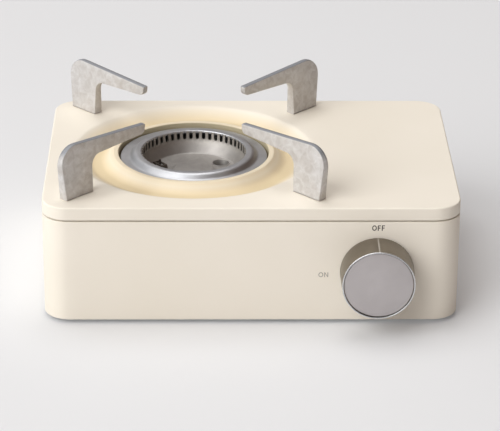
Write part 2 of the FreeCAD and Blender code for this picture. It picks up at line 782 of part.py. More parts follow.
def jet_holder():
    """Brass elbow block on the divider: gas comes in at the front and leaves through the jet."""
    half = V(0, HOLDER_HALF, HOLDER_HALF)
    solid = block(V(HOLDER_LEFT, TUBE_Y, TUBE_Z) - half, V(DIVIDER_LEFT, TUBE_Y, TUBE_Z) + half)
    middle = (HOLDER_LEFT + DIVIDER_LEFT) / 2
    inlet = bar(PORT_BORE, HOLDER_HALF, V(middle, TUBE_Y - HOLDER_HALF, TUBE_Z), BACK)
    outlet = bar(PORT_BORE, middle - HOLDER_LEFT + PORT_BORE, V(HOLDER_LEFT, TUBE_Y, TUBE_Z), RIGHT)
    return solid.cut([inlet, outlet])


def gas_pipe():
    """Pipe from the regulator's outlet through the divider to the jet holder."""
    x = (HOLDER_LEFT + DIVIDER_LEFT) / 2
    end_y = TUBE_Y - HOLDER_HALF
    rise = TUBE_Z - KNOB_Z
    run = end_y - PORT_Y
    points = [
        V(KNOB_X - BODY_HALF_WIDTH - BOSS_LENGTH, PORT_Y, KNOB_Z),
        V(x, PORT_Y, KNOB_Z),
        V(x, PORT_Y + run * 0.3, KNOB_Z + rise * 0.5),
        V(x, PORT_Y + run * 0.62, TUBE_Z),
        V(x, end_y, TUBE_Z),
    ]
    outer = swept(points, PIPE_RADIUS, PIPE_BEND)
    return outer.cut(swept(points, PIPE_RADIUS - PIPE_WALL, PIPE_BEND))


def divider_panel():
    """Panel between the burner and the cartridge, with its flange on the base."""
    face = sheet_section([
        (DIVIDER_X - DIVIDER_FLANGE, BASE_TOP, 0),
        (DIVIDER_X, BASE_TOP, BEND_RADIUS),
        (DIVIDER_X, DIVIDER_TOP, 0),
    ], SHEET)
    panel = along_y(face, DIVIDER_START, BACK_Y - FLANGE_WIDTH - 2 * SHEET)
    pipe_hole = bar(PIPE_RADIUS + 2 * SLIP, 2 * STRAP, V(DIVIDER_X - STRAP, PORT_Y, KNOB_Z), RIGHT)
    low, high = heat_plate_span()
    notch_low = V(DIVIDER_X - 2 * DIVIDER_FLANGE, low - SLIP, 0)
    notch = block(notch_low, V(DIVIDER_X + SHEET, high + SLIP, FLANGE_TOP + SLIP))
    x = DIVIDER_X - DIVIDER_FLANGE * 0.6
    holes = [base_screw(x, CASE_Y - CASE_DEPTH / 5), base_screw(x, BACK_Y - CORNER_RADIUS)]
    return panel.cut([pipe_hole, notch] + holes)


def heat_plate_span():
    """Front and back edges of the heat plate."""
    low = BURNER_Y + HEAT_PLATE_OFFSET
    return low, low + HEAT_PLATE_WIDTH


def heat_plate():
    """Aluminium strip that carries a little heat from the burner to the cartridge."""
    riser = BURNER_X + HEAT_PLATE_RISER
    face = sheet_section([
        (KNOB_X + HEAT_PLATE_REACH, FLANGE_TOP, 0),
        (riser, FLANGE_TOP, BEND_RADIUS),
        (riser, CHAMBER_FLOOR, BEND_RADIUS),
        (riser - HEAT_PLATE_TONGUE, CHAMBER_FLOOR, 0),
    ], SHEET)
    low, high = heat_plate_span()
    return along_y(face, low, high)


def cartridge_rail(side):
    """Bent rail that carries the cartridge, on the right (1) or the left (-1) of its axis."""
    slope = math.radians(RAIL_ANGLE)
    reach = CARTRIDGE_RADIUS + CARTRIDGE_FIT / 2
    touch = V(reach * math.sin(slope), 0, KNOB_Z - reach * math.cos(slope))
    way = V(math.cos(slope), 0, math.sin(slope))
    top = touch + way * RAIL_LIP_UP
    low = touch - way * RAIL_LIP_DOWN
    face = sheet_section([
        (top.x + RAIL_FOOT, FLANGE_TOP, 0),
        (top.x, FLANGE_TOP, BEND_RADIUS - SHEET),
        (top.x, top.z, BEND_RADIUS),
        (low.x, low.z, 0),
    ], SHEET)
    start = SOCKET_BACK + RAIL_START
    rail = along_y(face, start, BACK_Y - FLANGE_WIDTH - 2 * SHEET)
    if side < 0:
        rail = rail.mirror(V(0, 0, 0), RIGHT)
    rail.translate(RIGHT * KNOB_X)
    foot_x = KNOB_X + side * (top.x + RAIL_FOOT * 0.55)
    holes = [base_screw(foot_x, start + 2 * RAIL_START), base_screw(foot_x, BACK_Y - 2 * CORNER_RADIUS)]
    front, back = heat_plate_span()
    notch = block(V(0, front - SLIP, 0), V(KNOB_X, back + SLIP, FLANGE_TOP + SLIP))
    return rail.cut(holes + [notch])


def regulator_body():
    """Cast block with the valve bore at the front and the diaphragm's seat on top."""
    width = BODY_HALF_WIDTH
    solid = block(V(KNOB_X - width, BODY_FRONT, BODY_UNDER), V(KNOB_X + width, BODY_BACK, BODY_TOP))
    uprights = [e for e in solid.Edges if abs(e.tangentAt(e.FirstParameter).y) > ALONG]
    solid = solid.makeFillet(3, uprights)
    boss_front = BODY_FRONT - BOSS_LENGTH
    outlet_end = V(KNOB_X - width - BOSS_LENGTH, PORT_Y, KNOB_Z)
    boss = knob_bar(BOSS_RADIUS, boss_front, BODY_FRONT + 1)
    outlet = bar(BOSS_RADIUS / 2, BOSS_LENGTH + 1, outlet_end, RIGHT)
    seat = bar(DIAPHRAGM_RADIUS, DIAPHRAGM_SEAT + 1, V(KNOB_X, COVER_Y, BODY_TOP - 1))
    solid = joined([solid, boss, outlet, seat])
    bore = knob_bar(PLUG_RADIUS + RUNNING, boss_front, PLUG_FRONT + PLUG_LENGTH + 1)
    pipe_seat = bar(PIPE_RADIUS, BOSS_LENGTH, outlet_end, RIGHT)
    port = bar(PORT_BORE, width, V(KNOB_X - width, PORT_Y, KNOB_Z), RIGHT)
    stem = knob_bar(PORT_BORE, PLUG_FRONT + PLUG_LENGTH, BODY_BACK)
    riser = bar(PORT_BORE, DIAPHRAGM_SEAT + BODY_HALF_HEIGHT, V(KNOB_X, COVER_Y + PLUG_RADIUS, KNOB_Z))
    return solid.cut([bore, pipe_seat, port, stem, riser] + regulator_taps())


def regulator_taps():
    """Tapped holes for the bracket's screws and the cover's screws."""
    taps = [bar(SCREW_RADIUS, SCREW_GRIP + 1, V(x, y, BODY_UNDER)) for x, y in regulator_screw_places()]
    for x, y in cover_screw_places():
        taps.append(bar(SCREW_RADIUS, DIAPHRAGM_SEAT, V(x, y, BODY_TOP + SEAT_CLEARANCE)))
    return taps


def regulator_screw_places():
    """Two screws under the regulator, on its middle line."""
    return [(KNOB_X, BODY_MIDDLE - BODY_LENGTH / 5), (KNOB_X, BODY_MIDDLE + BODY_LENGTH / 5)]


def cover_screw_places():
    """Screws round the diaphragm's rim."""
    reach = DIAPHRAGM_RADIUS - SCREW_HEAD_RADIUS - SLIP
    places = []
    for i in range(COVER_SCREWS):
        angle = math.radians(45 + i * 360 / COVER_SCREWS)
        places.append((KNOB_X + reach * math.cos(angle), COVER_Y + reach * math.sin(angle)))
    return places


def diaphragm():
    """Rubber disc clamped below the regulator's cover."""
    disc = bar(DIAPHRAGM_RADIUS, DIAPHRAGM_THICKNESS, V(KNOB_X, COVER_Y, SEAT_TOP))
    return disc.cut(screw_holes(cover_screw_places(), SEAT_TOP, COVER_UNDER))


def regulator_spring():
    """Sleeve in the spring's place, which loads the diaphragm."""
    height = COVER_HEIGHT - COVER_WALL
    low = V(KNOB_X, COVER_Y, COVER_UNDER)
    return bar(SPRING_RADIUS, height, low).cut(bar(SPRING_RADIUS - SPRING_WIRE, height, low))


def regulator_cover():
    """Cupped cover with a flat rim for its screws."""
    low = V(KNOB_X, COVER_Y, COVER_UNDER)
    cup_radius = DIAPHRAGM_RADIUS - 2 * SCREW_HEAD_RADIUS - 2 * SLIP
    rim = bar(DIAPHRAGM_RADIUS, COVER_WALL, low)
    cup = bar(cup_radius, COVER_HEIGHT, low)
    cup = cup.makeFillet(COVER_WALL, top_edges(cup))
    hollow = bar(cup_radius - COVER_WALL, COVER_HEIGHT - COVER_WALL, low)
    holes = screw_holes(cover_screw_places(), COVER_UNDER, COVER_UNDER + COVER_WALL)
    return joined([rim, cup]).cut([hollow] + holes)


def cover_screws():
    """Screws down through the cover's rim."""
    screws = []
    top = COVER_UNDER + COVER_WALL
    for x, y in cover_screw_places():
        head = bar(SCREW_HEAD_RADIUS, SCREW_HEAD_HEIGHT, V(x, y, top))
        shank = bar(SCREW_RADIUS, top - BODY_TOP - SEAT_CLEARANCE, V(x, y, BODY_TOP + SEAT_CLEARANCE))
        screws.append(head.fuse(shank))
    return Part.makeCompound(screws)


def cartridge_socket():
    """Round socket that the cartridge's neck seats in, its collar against the magnets."""
    disc = knob_bar(SOCKET_RADIUS, BODY_BACK, SOCKET_BACK)
    bore = knob_bar(SOCKET_BORE_RADIUS, SOCKET_FLOOR, SOCKET_BACK)
    stem = knob_bar(STEM_HOLE_RADIUS, BODY_BACK, SOCKET_BACK)
    seal = knob_bar(SEAL_RADIUS, SOCKET_FLOOR - SEAL_THICKNESS, SOCKET_FLOOR)
    pockets = [bar(MAGNET_RADIUS, MAGNET_DEPTH, place, BACK) for place in magnet_places()]
    return disc.cut([bore, stem, seal] + pockets)


def magnet_places():
    """Magnet pockets in the socket's rim, as points on their front ends."""
    reach = (SOCKET_RADIUS + SOCKET_BORE_RADIUS) / 2
    places = []
    for i in range(MAGNET_COUNT):
        angle = math.radians(90 + i * 360 / MAGNET_COUNT)
        offset = V(reach * math.cos(angle), SOCKET_BACK - MAGNET_DEPTH, reach * math.sin(angle))
        places.append(KNOB_AXIS + offset)
    return places


def socket_magnets():
    """Magnets that hold the steel collar of the cartridge."""
    radius = MAGNET_RADIUS - RUNNING
    return Part.makeCompound([bar(radius, MAGNET_DEPTH, place, BACK) for place in magnet_places()])


def stem_seal():
    """Rubber ring round the cartridge's stem."""
    start = SOCKET_FLOOR - SEAL_THICKNESS
    hole = knob_bar(STEM_HOLE_RADIUS - SLIP, start, SOCKET_FLOOR)
    return knob_bar(SEAL_RADIUS, start, SOCKET_FLOOR).cut(hole)


def regulator_bracket():
    """Strap below the regulator."""
    face = hat_section(BODY_HALF_WIDTH * 0.8, STRAP_FOOT * 0.8, BODY_UNDER)
    face.translate(RIGHT * KNOB_X)
    half = BODY_LENGTH * 0.32
    strap = along_y(face, BODY_MIDDLE - half, BODY_MIDDLE + half)
    foot_x = BODY_HALF_WIDTH * 0.8 + STRAP_FOOT * 0.45
    holes = [base_screw(KNOB_X + side * foot_x, BODY_MIDDLE) for side in (-1, 1)]
    holes += screw_holes(regulator_screw_places(), BODY_UNDER - 2 * STRAP, BODY_UNDER)
    return strap.cut(holes)


def regulator_screws():
    """Screws that hold the regulator to its strap."""
    return screws_up(regulator_screw_places(), BODY_UNDER - STRAP, BODY_UNDER + SCREW_GRIP)


def spindle_bush():
    """Plastic bush that guides the spindle in the front wall."""
    end = FRONT_Y + SHEET + BUSH_FLANGE
    sleeve = knob_bar(SPINDLE_RADIUS + BUSH_WALL, FRONT_Y, end)
    flange = knob_bar(SPINDLE_RADIUS + 2 * BUSH_WALL, FRONT_Y + SHEET, end)
    return sleeve.fuse(flange).cut(knob_bar(SPINDLE_RADIUS + RUNNING, FRONT_Y, end))


def spindle():
    """Steel shaft from the knob's hub to the valve plug."""
    start = FRONT_Y - KNOB_PROUD + KNOB_RIM_DEPTH + KNOB_FACE_THICKNESS + KNOB_WEB
    return knob_bar(SPINDLE_RADIUS, start, PLUG_FRONT + PLUG_SOCKET)


def valve_plug():
    """Plug with a cross port, turned by the spindle inside the regulator's bore."""
    plug = knob_bar(PLUG_RADIUS, PLUG_FRONT, PLUG_FRONT + PLUG_LENGTH)
    socket = knob_bar(SPINDLE_RADIUS, PLUG_FRONT, PLUG_FRONT + PLUG_SOCKET)
    port = bar(PORT_BORE, PLUG_RADIUS, V(KNOB_X, PORT_Y, KNOB_Z), UP)
    way = knob_bar(PORT_BORE, PORT_Y, PLUG_FRONT + PLUG_LENGTH)
    return plug.cut([socket, port, way])


def cam_point(angle):
    """Point of the cam's rim at an angle in degrees, anticlockwise from the right."""
    reach = CAM_RADIUS + CAM_RISE * max(0, -angle) / CAM_TRAVEL
    return V(math.cos(math.radians(angle)), 0, math.sin(math.radians(angle))) * reach


def igniter_cam():
    """Snail cam on the spindle: its rim pushes the plunger in as the knob turns."""
    last = -CAM_TRAVEL - CAM_OVERRUN
    round_end = 360 + last - CAM_STEP
    spiral = Part.BSplineCurve()
    spiral.interpolate([cam_point(last * (1 - i / CAM_POINTS)) for i in range(CAM_POINTS + 1)])
    edges = [
        spiral.toShape(),
        Part.Arc(cam_point(0), cam_point(round_end / 2), cam_point(round_end)).toShape(),
        Part.LineSegment(cam_point(round_end), cam_point(last)).toShape(),
    ]
    face = Part.Face(Part.Wire(edges))
    face.translate(KNOB_AXIS)
    end = CAM_FRONT + CAM_THICKNESS
    return along_y(face, CAM_FRONT, end).cut(knob_bar(SPINDLE_RADIUS, CAM_FRONT, end))


def igniter_plunger():
    """Round-ended plunger that the cam pushes into the igniter."""
    tip = V(PLUNGER_TIP, CAM_MIDDLE, KNOB_Z)
    ball = Part.makeSphere(PLUNGER_RADIUS, tip + RIGHT * PLUNGER_RADIUS)
    length = PLUNGER_SHOWN + PLUNGER_HIDDEN - PLUNGER_RADIUS
    return joined([ball, bar(PLUNGER_RADIUS, length, tip + RIGHT * PLUNGER_RADIUS, RIGHT)])


def igniter_body():
    """Spark unit with a bore for its plunger."""
    half_width = IGNITER_WIDTH / 2
    half_height = IGNITER_HEIGHT / 2
    low = V(IGNITER_LEFT, CAM_MIDDLE - half_width, KNOB_Z - half_height)
    high = V(IGNITER_RIGHT, CAM_MIDDLE + half_width, KNOB_Z + half_height)
    solid = block(low, high)
    edges = [e for e in solid.Edges if abs(e.tangentAt(e.FirstParameter).x) > ALONG]
    solid = solid.makeFillet(IGNITER_EDGE, edges)
    depth = PLUNGER_HIDDEN + CAM_RISE + PLUNGER_ROOM
    return solid.cut(bar(PLUNGER_RADIUS + RUNNING, depth, V(IGNITER_LEFT, CAM_MIDDLE, KNOB_Z), RIGHT))


def igniter_bracket():
    """Bent shelf below the spark unit, its foot on the casing's bottom flange."""
    left = IGNITER_LEFT + 2
    right = IGNITER_RIGHT - 2 * LEAD_EXIT_INSET
    face = sheet_section([
        (left, FLANGE_TOP, 0),
        (right, FLANGE_TOP, BEND_RADIUS),
        (right, IGNITER_UNDER, BEND_RADIUS),
        (left, IGNITER_UNDER, 0),
    ], STRAP)
    half = IGNITER_WIDTH / 2 - SLIP
    shelf = along_y(face, CAM_MIDDLE - half, CAM_MIDDLE + half)
    x = (left + right) / 2 - 1
    return shelf.cut(base_screw(x, FRONT_Y + SHEET + FLANGE_WIDTH / 2, FLANGE_TOP + SCREW_GRIP))


def ignition_lead():
    """Insulated lead from the spark unit, over the base, up to the electrode."""
    x = IGNITER_RIGHT - LEAD_EXIT_INSET
    low = FLANGE_TOP + LEAD_RADIUS + SLIP
    under = CHAMBER_FLOOR
    front = DIVIDER_START - 4 * LEAD_RADIUS
    insulator_low = DISH_FLOOR - INSULATOR_DROP
    points = [
        V(x, CAM_MIDDLE, IGNITER_UNDER),
        V(x, CAM_MIDDLE, IGNITER_UNDER - LEAD_DROP),
        V(x - LEAD_LEAN, DIVIDER_START - LEAD_RADIUS, low),
        V(DIVIDER_X, front, low),
        V(BURNER_X + LEAD_FIRST_X, front + LEAD_FIRST_Y, low),
        V(BURNER_X - LEAD_SECOND_X, front + LEAD_SECOND_Y, low),
        V(SPARK.x - LEAD_LEAN, SPARK.y - LEAD_CLIMB_START, low),
        V(SPARK.x, SPARK.y - LEAD_CLIMB_END, (low + under) / 2),
        V(SPARK.x, SPARK.y, under - LEAD_CLIMB_END / 2),
        V(SPARK.x, SPARK.y, insulator_low),
    ]
    lead = swept(points, LEAD_RADIUS, PIPE_BEND)
    route = rounded_wire(points, [PIPE_BEND] * len(points), closed=False)
    straight_volume = math.pi * LEAD_RADIUS ** 2 * route.Length
    print("lead: length", round(route.Length, 1), "volume ratio", round(lead.Volume / straight_volume, 4))
    return lead


def electrode_insulator():
    """Ceramic tube that carries the electrode up through the bowl floor."""
    low = SPARK + UP * (DISH_FLOOR - INSULATOR_DROP)
    length = INSULATOR_DROP + INSULATOR_RISE
    tube = bar(INSULATOR_RADIUS, length, low)
    return tube.cut(bar(ELECTRODE_RADIUS, length, low))


def electrode():
    """Steel rod whose tip stands in the hood's slit."""
    length = INSULATOR_DROP + ELECTRODE_RISE
    return bar(ELECTRODE_RADIUS, length, SPARK + UP * (DISH_FLOOR - INSULATOR_DROP))


def electrode_bracket():
    """Small bent hood over the insulator, with a slit for the spark."""
    half = HOOD_LENGTH / 2
    face = sheet_section([
        (half, DISH_FLOOR, 0),
        (half, DISH_FLOOR + HOOD_RISE, BEND_RADIUS),
        (-half, DISH_FLOOR + HOOD_RISE, BEND_RADIUS),
        (-half, DISH_FLOOR, 0),
    ], SHEET)
    hood = along_y(face, -HOOD_WIDTH / 2, HOOD_WIDTH / 2)
    slit_half = V(HOOD_SLIT_LENGTH / 2, HOOD_SLIT_WIDTH / 2, 0)
    hood = hood.cut(block(UP * (DISH_FLOOR + SHEET) - slit_half, UP * CASE_TOP + slit_half))
    hood.rotate(V(0, 0, 0), UP, HOOD_TURN)
    hood.translate(SPARK)
    return hood


def knob_barrel():
    """Aluminium cup with a raised front rim and a hub for the spindle."""
    front = FRONT_Y - KNOB_PROUD
    back = FRONT_Y - KNOB_GAP
    web_front = front + KNOB_RIM_DEPTH + KNOB_FACE_THICKNESS
    web_back = web_front + KNOB_WEB
    cup = knob_bar(KNOB_RADIUS, front, back)
    cup = cup.makeFillet(KNOB_RIM / 3, [e for e in cup.Edges if e.BoundBox.YMax < front + 1e-4])
    recess = knob_bar(KNOB_RADIUS - KNOB_RIM, front, web_front)
    hollow = knob_bar(KNOB_RADIUS - KNOB_WALL, web_back, back)
    hub = knob_bar(HUB_RADIUS, web_back - 1, web_back + HUB_LENGTH)
    bore = knob_bar(SPINDLE_RADIUS, web_back, back)
    screw = bar(SCREW_RADIUS, HUB_RADIUS, knob_screw_start(), UP * -1)
    return joined([cup.cut([recess, hollow]), hub]).cut([bore, screw, marker_block(0)])


def knob_screw_start():
    """Where the grub screw meets the spindle."""
    along = FRONT_Y - KNOB_GAP - KNOB_PROUD / 3
    return V(KNOB_X, along, KNOB_Z - SPINDLE_RADIUS)


def marker_block(proud):
    """The marker's groove in the barrel, or the inlay itself when it stands proud."""
    start = FRONT_Y - KNOB_PROUD + MARKER_INSET
    half = MARKER_WIDTH / 2
    top = KNOB_RADIUS + (proud if proud else 1)
    low = V(KNOB_X - half, start, KNOB_Z + KNOB_RADIUS - MARKER_DEPTH)
    return block(low, V(KNOB_X + half, start + MARKER_LENGTH, KNOB_Z + top))


def knob_face():
    """Disc set inside the knob's rim."""
    front = FRONT_Y - KNOB_PROUD + KNOB_RIM_DEPTH
    return knob_bar(KNOB_RADIUS - KNOB_RIM - RUNNING, front, front + KNOB_FACE_THICKNESS)


def knob_screw():
    """Grub screw that holds the hub on the spindle."""
    return bar(SCREW_RADIUS, HUB_RADIUS - SPINDLE_RADIUS, knob_screw_start(), UP * -1)


def base_screws():
    """All screws that come up through the base."""
    return Part.makeCompound([screw_up(x, y, FOOT_HEIGHT, top) for x, y, top in BASE_SCREW_PLACES])


def build():
    """Make and save every piece; casing and base come last, when their screw places are known."""
    for x, y in flange_screw_places():
        base_screw(x, y)
    save("top_plate", top_plate())
    save("corner_posts", corner_posts())
    for name, (x, y) in foot_places().items():
        save("rubber_foot_" + name, foot(x, y))
    for name, turn in SUPPORT_TURNS.items():
        save("pan_support_" + name, pan_support(turn))
    save("cartridge_rail_left", cartridge_rail(-1))
    save("cartridge_rail_right", cartridge_rail(1))
    save("knob_marker", marker_block(MARKER_PROUD))
    makers = [
        support_screws, burner_head, flame_ring, burner_dish, burner_chamber, burner_screws,
        burner_bracket, mixing_tube, gas_jet, jet_holder, gas_pipe, divider_panel, heat_plate,
        regulator_body, diaphragm, regulator_spring, regulator_cover, cover_screws,
        cartridge_socket, socket_magnets, stem_seal, regulator_bracket, regulator_screws,
        spindle_bush, spindle, valve_plug, igniter_cam, igniter_plunger, igniter_body,
        igniter_bracket, ignition_lead, electrode_insulator, electrode, electrode_bracket,
        knob_barrel, knob_face, knob_screw,
    ]
    for maker in makers:
        save(maker.__name__, maker())
    save("lower_casing", lower_casing())
    save("bottom_plate", bottom_plate())
    save("base_screws", base_screws())


build()
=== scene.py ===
"""Butane cassette stove in ivory enamel: the finish of every piece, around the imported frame.

Sizes here are in millimetres and become metres as a mesh is made. Heights are measured from the table.
"""

import json
import math

import bmesh
import bpy
from mathutils import Matrix, Vector


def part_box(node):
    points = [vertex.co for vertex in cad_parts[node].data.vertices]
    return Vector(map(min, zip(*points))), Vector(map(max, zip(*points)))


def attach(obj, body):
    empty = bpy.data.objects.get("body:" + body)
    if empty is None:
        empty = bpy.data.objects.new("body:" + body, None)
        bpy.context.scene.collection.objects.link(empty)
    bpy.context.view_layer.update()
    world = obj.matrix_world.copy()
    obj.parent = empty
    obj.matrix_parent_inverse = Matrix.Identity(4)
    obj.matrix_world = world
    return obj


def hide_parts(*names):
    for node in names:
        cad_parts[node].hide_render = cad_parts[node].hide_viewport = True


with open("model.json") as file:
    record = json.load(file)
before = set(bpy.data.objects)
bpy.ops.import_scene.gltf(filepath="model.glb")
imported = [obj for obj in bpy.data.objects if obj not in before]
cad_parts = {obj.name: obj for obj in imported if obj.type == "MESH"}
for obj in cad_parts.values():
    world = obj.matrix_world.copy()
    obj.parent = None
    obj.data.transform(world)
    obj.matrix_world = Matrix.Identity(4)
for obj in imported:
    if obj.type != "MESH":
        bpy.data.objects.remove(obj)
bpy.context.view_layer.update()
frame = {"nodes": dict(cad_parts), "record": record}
MM = 0.001
BODY = "stove_body"
KNOB = "control_knob"


def node_box(node):
    """Lowest and highest corner of a CAD node in millimetres."""
    low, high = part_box(node)
    return low / MM, high / MM


# Places read from the frame
CASE_LOW, CASE_HIGH = node_box("lower_casing")
CASE_MIDDLE = (CASE_LOW + CASE_HIGH) / 2
HALF_WIDTH = (CASE_HIGH.x - CASE_LOW.x) / 2
HALF_DEPTH = (CASE_HIGH.y - CASE_LOW.y) / 2
FRONT = CASE_LOW.y
BACK = CASE_HIGH.y
WALL_LOW = CASE_LOW.z
TOP = node_box("top_plate")[1].z
HEAD_LOW, HEAD_HIGH = node_box("burner_head")
BURNER = Vector(((HEAD_LOW.x + HEAD_HIGH.x) / 2, (HEAD_LOW.y + HEAD_HIGH.y) / 2, 0))
KNOB_LOW, KNOB_HIGH = node_box("knob_barrel")
KNOB_FRONT = KNOB_LOW.y
KNOB_BACK = KNOB_HIGH.y
KNOB_AXIS = Vector(((KNOB_LOW.x + KNOB_HIGH.x) / 2, 0, (KNOB_LOW.z + KNOB_HIGH.z) / 2))

# Casing
CORNER_RADIUS = 18.0
CORNER_STEPS = 12
SIDE_STEP = 6.0
SHEET = 0.8
SKIRT = 8.7
SEAM_GAP = 1.25
SEAM = TOP - SKIRT
WALL_TOP = SEAM - SEAM_GAP
UPSTAND_INSET = 2.2
UPSTAND_RISE = 5.0
FLANGE_LOW = 3.8
FLANGE_WIDTH = 9.0
PLATE_EDGE = 1.0
BAY_RADIUS = 34.8
BAY_FLOOR = 4.9
BUSH_HOLE_RADIUS = 5.2

# Recess in the top, as radius from the burner's axis and height
RIM_RADIUS = 88.5
RECESS_RADIUS = 83.5
RECESS_FLOOR_RADIUS = 71.5
RECESS_FLOOR = 78.5
CREST_FOOT_RADIUS = 63.0
CREST_RADIUS = 56.0
CREST = 84.6
HOLE_RADIUS = 52.4
COLLAR_LOW = 73.0

# Painted shading: where the enamel is painted a deeper, warmer shade for the shade in the recess, as radius,
# and where the bowl turns a pale straw colour, partly heat tint and partly painted light on the fins, as
# height
RECESS_SHADE_EDGE = 86.0
RECESS_SHADE_FULL = 80.0
CREST_SHADE_EDGE = 64.0
CREST_SHADE_FULL = 57.0
STRAW_AND_LIGHT_FROM = 74.0
STRAW_AND_LIGHT_FULL = 82.0

# Turned ring of the burner, as radius from its axis and height
RING_RADIUS = 51.2
RING_UNDER = 79.5
RING_FLANGE = 81.3
RING_SLOPE_RADIUS = 44.4
RING_CREST_RADIUS = 41.4
RING_CREST = 84.9
RING_WALL_RADIUS = 41.6
LIP_RADIUS = 36.6
LIP_ROOT_RADIUS = 39.4
LIP_UNDER = 83.3

# Bowl of the burner, as radius from its axis and height
FLAME_RADIUS = 36.0
FLAME_FOOT_RADIUS = 31.0
FLAME_FOOT = 70.0
FLAME_BEND_RADIUS = 35.8
FLAME_BEND = 78.6
FLAME_WALL = 0.9
PORT_COUNT = 50
PORT_WIDTH = 2.5
PORT_TOP = 84.4
PORT_HEIGHT = 5.6
DISH_RADIUS = 30.9
DISH_FLOOR = 69.8
DISH_MIDDLE_RADIUS = 13.5
DISH_MIDDLE_RISE = 1.6
AIR_HOLE = Vector((18.9, 13.2, 0))
AIR_HOLE_RADIUS = 6.0
EYELET_DROP = 5.0
SPARK_HOLE = Vector((-23.8, 5.2, 0))
SPARK_HOLE_RADIUS = 3.2

# Pan supports, as reach from the burner's axis, height above the top and radius of the corner
SUPPORT_THICKNESS = 7.2
SUPPORT_TOP_THICKNESS = 3.8
SUPPORT_RISE = 38.4
SUPPORT_OUTLINE = [
    (98.0, 0.0, 0.3),
    (122.2, 0.0, 0.3),
    (126.4, SUPPORT_RISE, 13.0),
    (47.9, 34.4, 1.0),
    (48.9, 27.6, 4.0),
    (97.2, 25.2, 7.0),
]
SUPPORT_TURNS = {"front_left": 225, "front_right": 315, "back_left": 135, "back_right": 45}

# Knob; depths are measured from its front
KNOB_RADIUS = 24.8
KNOB_FRONT_RADIUS = 24.3
KNOB_WALL = 2.4
KNOB_RIM = 0.9
KNOB_RIM_DEPTH = 0.7
KNOB_GROOVE = 0.5
KNOB_GROOVE_DEPTH = 1.6
KNOB_FACE_DEPTH = 0.1
KNOB_FACE_BACK = 1.75
KNOB_CROWN = 0.7
KNOB_POCKET_INSET = 3.5
KNOB_POCKET_DEPTH = 1.9
KNOB_WEB_BACK = 4.8
KNOB_BORE_RADIUS = 3.0
KNOB_BOSS_RADIUS = 7.0
KNOB_BOSS_BACK = 14.0
MARKER_WIDTH = 1.0
MARKER_START = 0.9
MARKER_END = 21.6
MARKER_SUNK = 1.2
MARKER_PROUD = 0.04

# Lettering on the front wall; low is the lower left corner (x, z)
INK_THICKNESS = 0.05
INK_SUNK = 0.02
OFF_SIZES = {"widths": (3.1, 2.0, 2.0), "gap": 0.68, "low": (80.0, 68.8), "height": 3.9, "stroke": 0.62}
ON_SIZES = {"widths": (3.2, 2.6), "gap": 0.75, "low": (44.9, 34.7), "height": 3.5, "stroke": 0.496}

# Rubber feet
FOOT_RADIUS = 8.0
FOOT_HEIGHT = 3.0
STUD_RADIUS = 2.5
DIMPLE_RADIUS = 4.2
DIMPLE_RISE = 0.7

# Screws under the base
SCREW_HEAD_RADIUS = 2.8
SCREW_HEAD_HEIGHT = 1.5
SCREW_CROWN_RADIUS = 1.9
SCREW_RADIUS = 1.5
SCREW_TIP_RADIUS = 1.1
SCREW_TIP = 0.4
SCREW_SLOT = (2.6, 0.7, 1.6)
SCREW_SEED = 7

# Table: its reach from the middle, and the share by which it is lifted where it is seen
TABLE_REACH = 6000
TABLE_LIFT = 0.14

# Soft boxes: place and target in metres, side in metres and power in watts
LAMPS = {
    "key": ((-2.7, -2.4, 2.75), (0, 0, 0.05), 4.0, 157),
    "overhead": ((-0.4, 0.9, 4.0), (0, 0, 0), 2.6, 69),
}

# Room: its bright side is left, a little to the front and above. A direction's cosine with that side says
# how bright it is: dark up to the first limit, bright from the second
ROOM_LIGHT_SIDE = (-0.96, -0.1, 0.25)
ROOM_DARK_TO = -0.3
ROOM_BRIGHT_FROM = 0.7
ROOM_STRENGTH = 0.51

# Camera: its place, lens and sensor in millimetres, its turns in degrees
CAMERA_PLACE = Vector((-27.4, -1572.0, 746.6))
CAMERA_PITCH = 24.16
CAMERA_YAW = 1.01
CAMERA_ROLL = 0.41
CAMERA_LENS = 177.13
CAMERA_SENSOR = 36.0


def linear(hex_code):
    """An sRGB hex colour as the linear colour that a shader takes."""
    parts = [int(hex_code[i:i + 2], 16) / 255 for i in (1, 3, 5)]
    return tuple([c / 12.92 if c <= 0.04045 else ((c + 0.055) / 1.055) ** 2.4 for c in parts] + [1.0])


def result(node):
    """A node's first output in use."""
    return next(output for output in node.outputs if output.enabled)


def add(tree, kind, inputs=None, **settings):
    """Adds a node with its settings and links.

    An input is named, or numbered among those in use. It is a value, a socket, or a node, for its result.
    """
    made = tree.nodes.new(kind)
    for name, value in settings.items():
        setattr(made, name, value)
    used = [socket for socket in made.inputs if socket.enabled]
    for key, value in (inputs or {}).items():
        socket = used[key] if isinstance(key, int) else next(s for s in used if s.name == key)
        if isinstance(value, bpy.types.Node):
            value = result(value)
        if isinstance(value, bpy.types.NodeSocket):
            tree.links.new(value, socket)
        else:
            socket.default_value = value
    return made


def new_material(name, **sockets):
    """A material with one Principled shader, whose sockets are set by name."""
    material = bpy.data.materials.new(name)
    material.use_nodes = True
    tree = material.node_tree
    shader = tree.nodes["Principled BSDF"]
    for socket, value in sockets.items():
        shader.inputs[socket].default_value = value
    return material, tree, shader


def place(tree, origin=(0, 0, 0), turn=(0, 0, 0)):
    """Object coordinates, centred on an origin in millimetres and turned."""
    coordinates = add(tree, "ShaderNodeTexCoord").outputs["Object"]
    moved = add(tree, "ShaderNodeVectorMath", {0: coordinates, 1: Vector(origin) * MM}, operation="SUBTRACT")
    return add(tree, "ShaderNodeMapping", {"Vector": moved, "Rotation": turn})


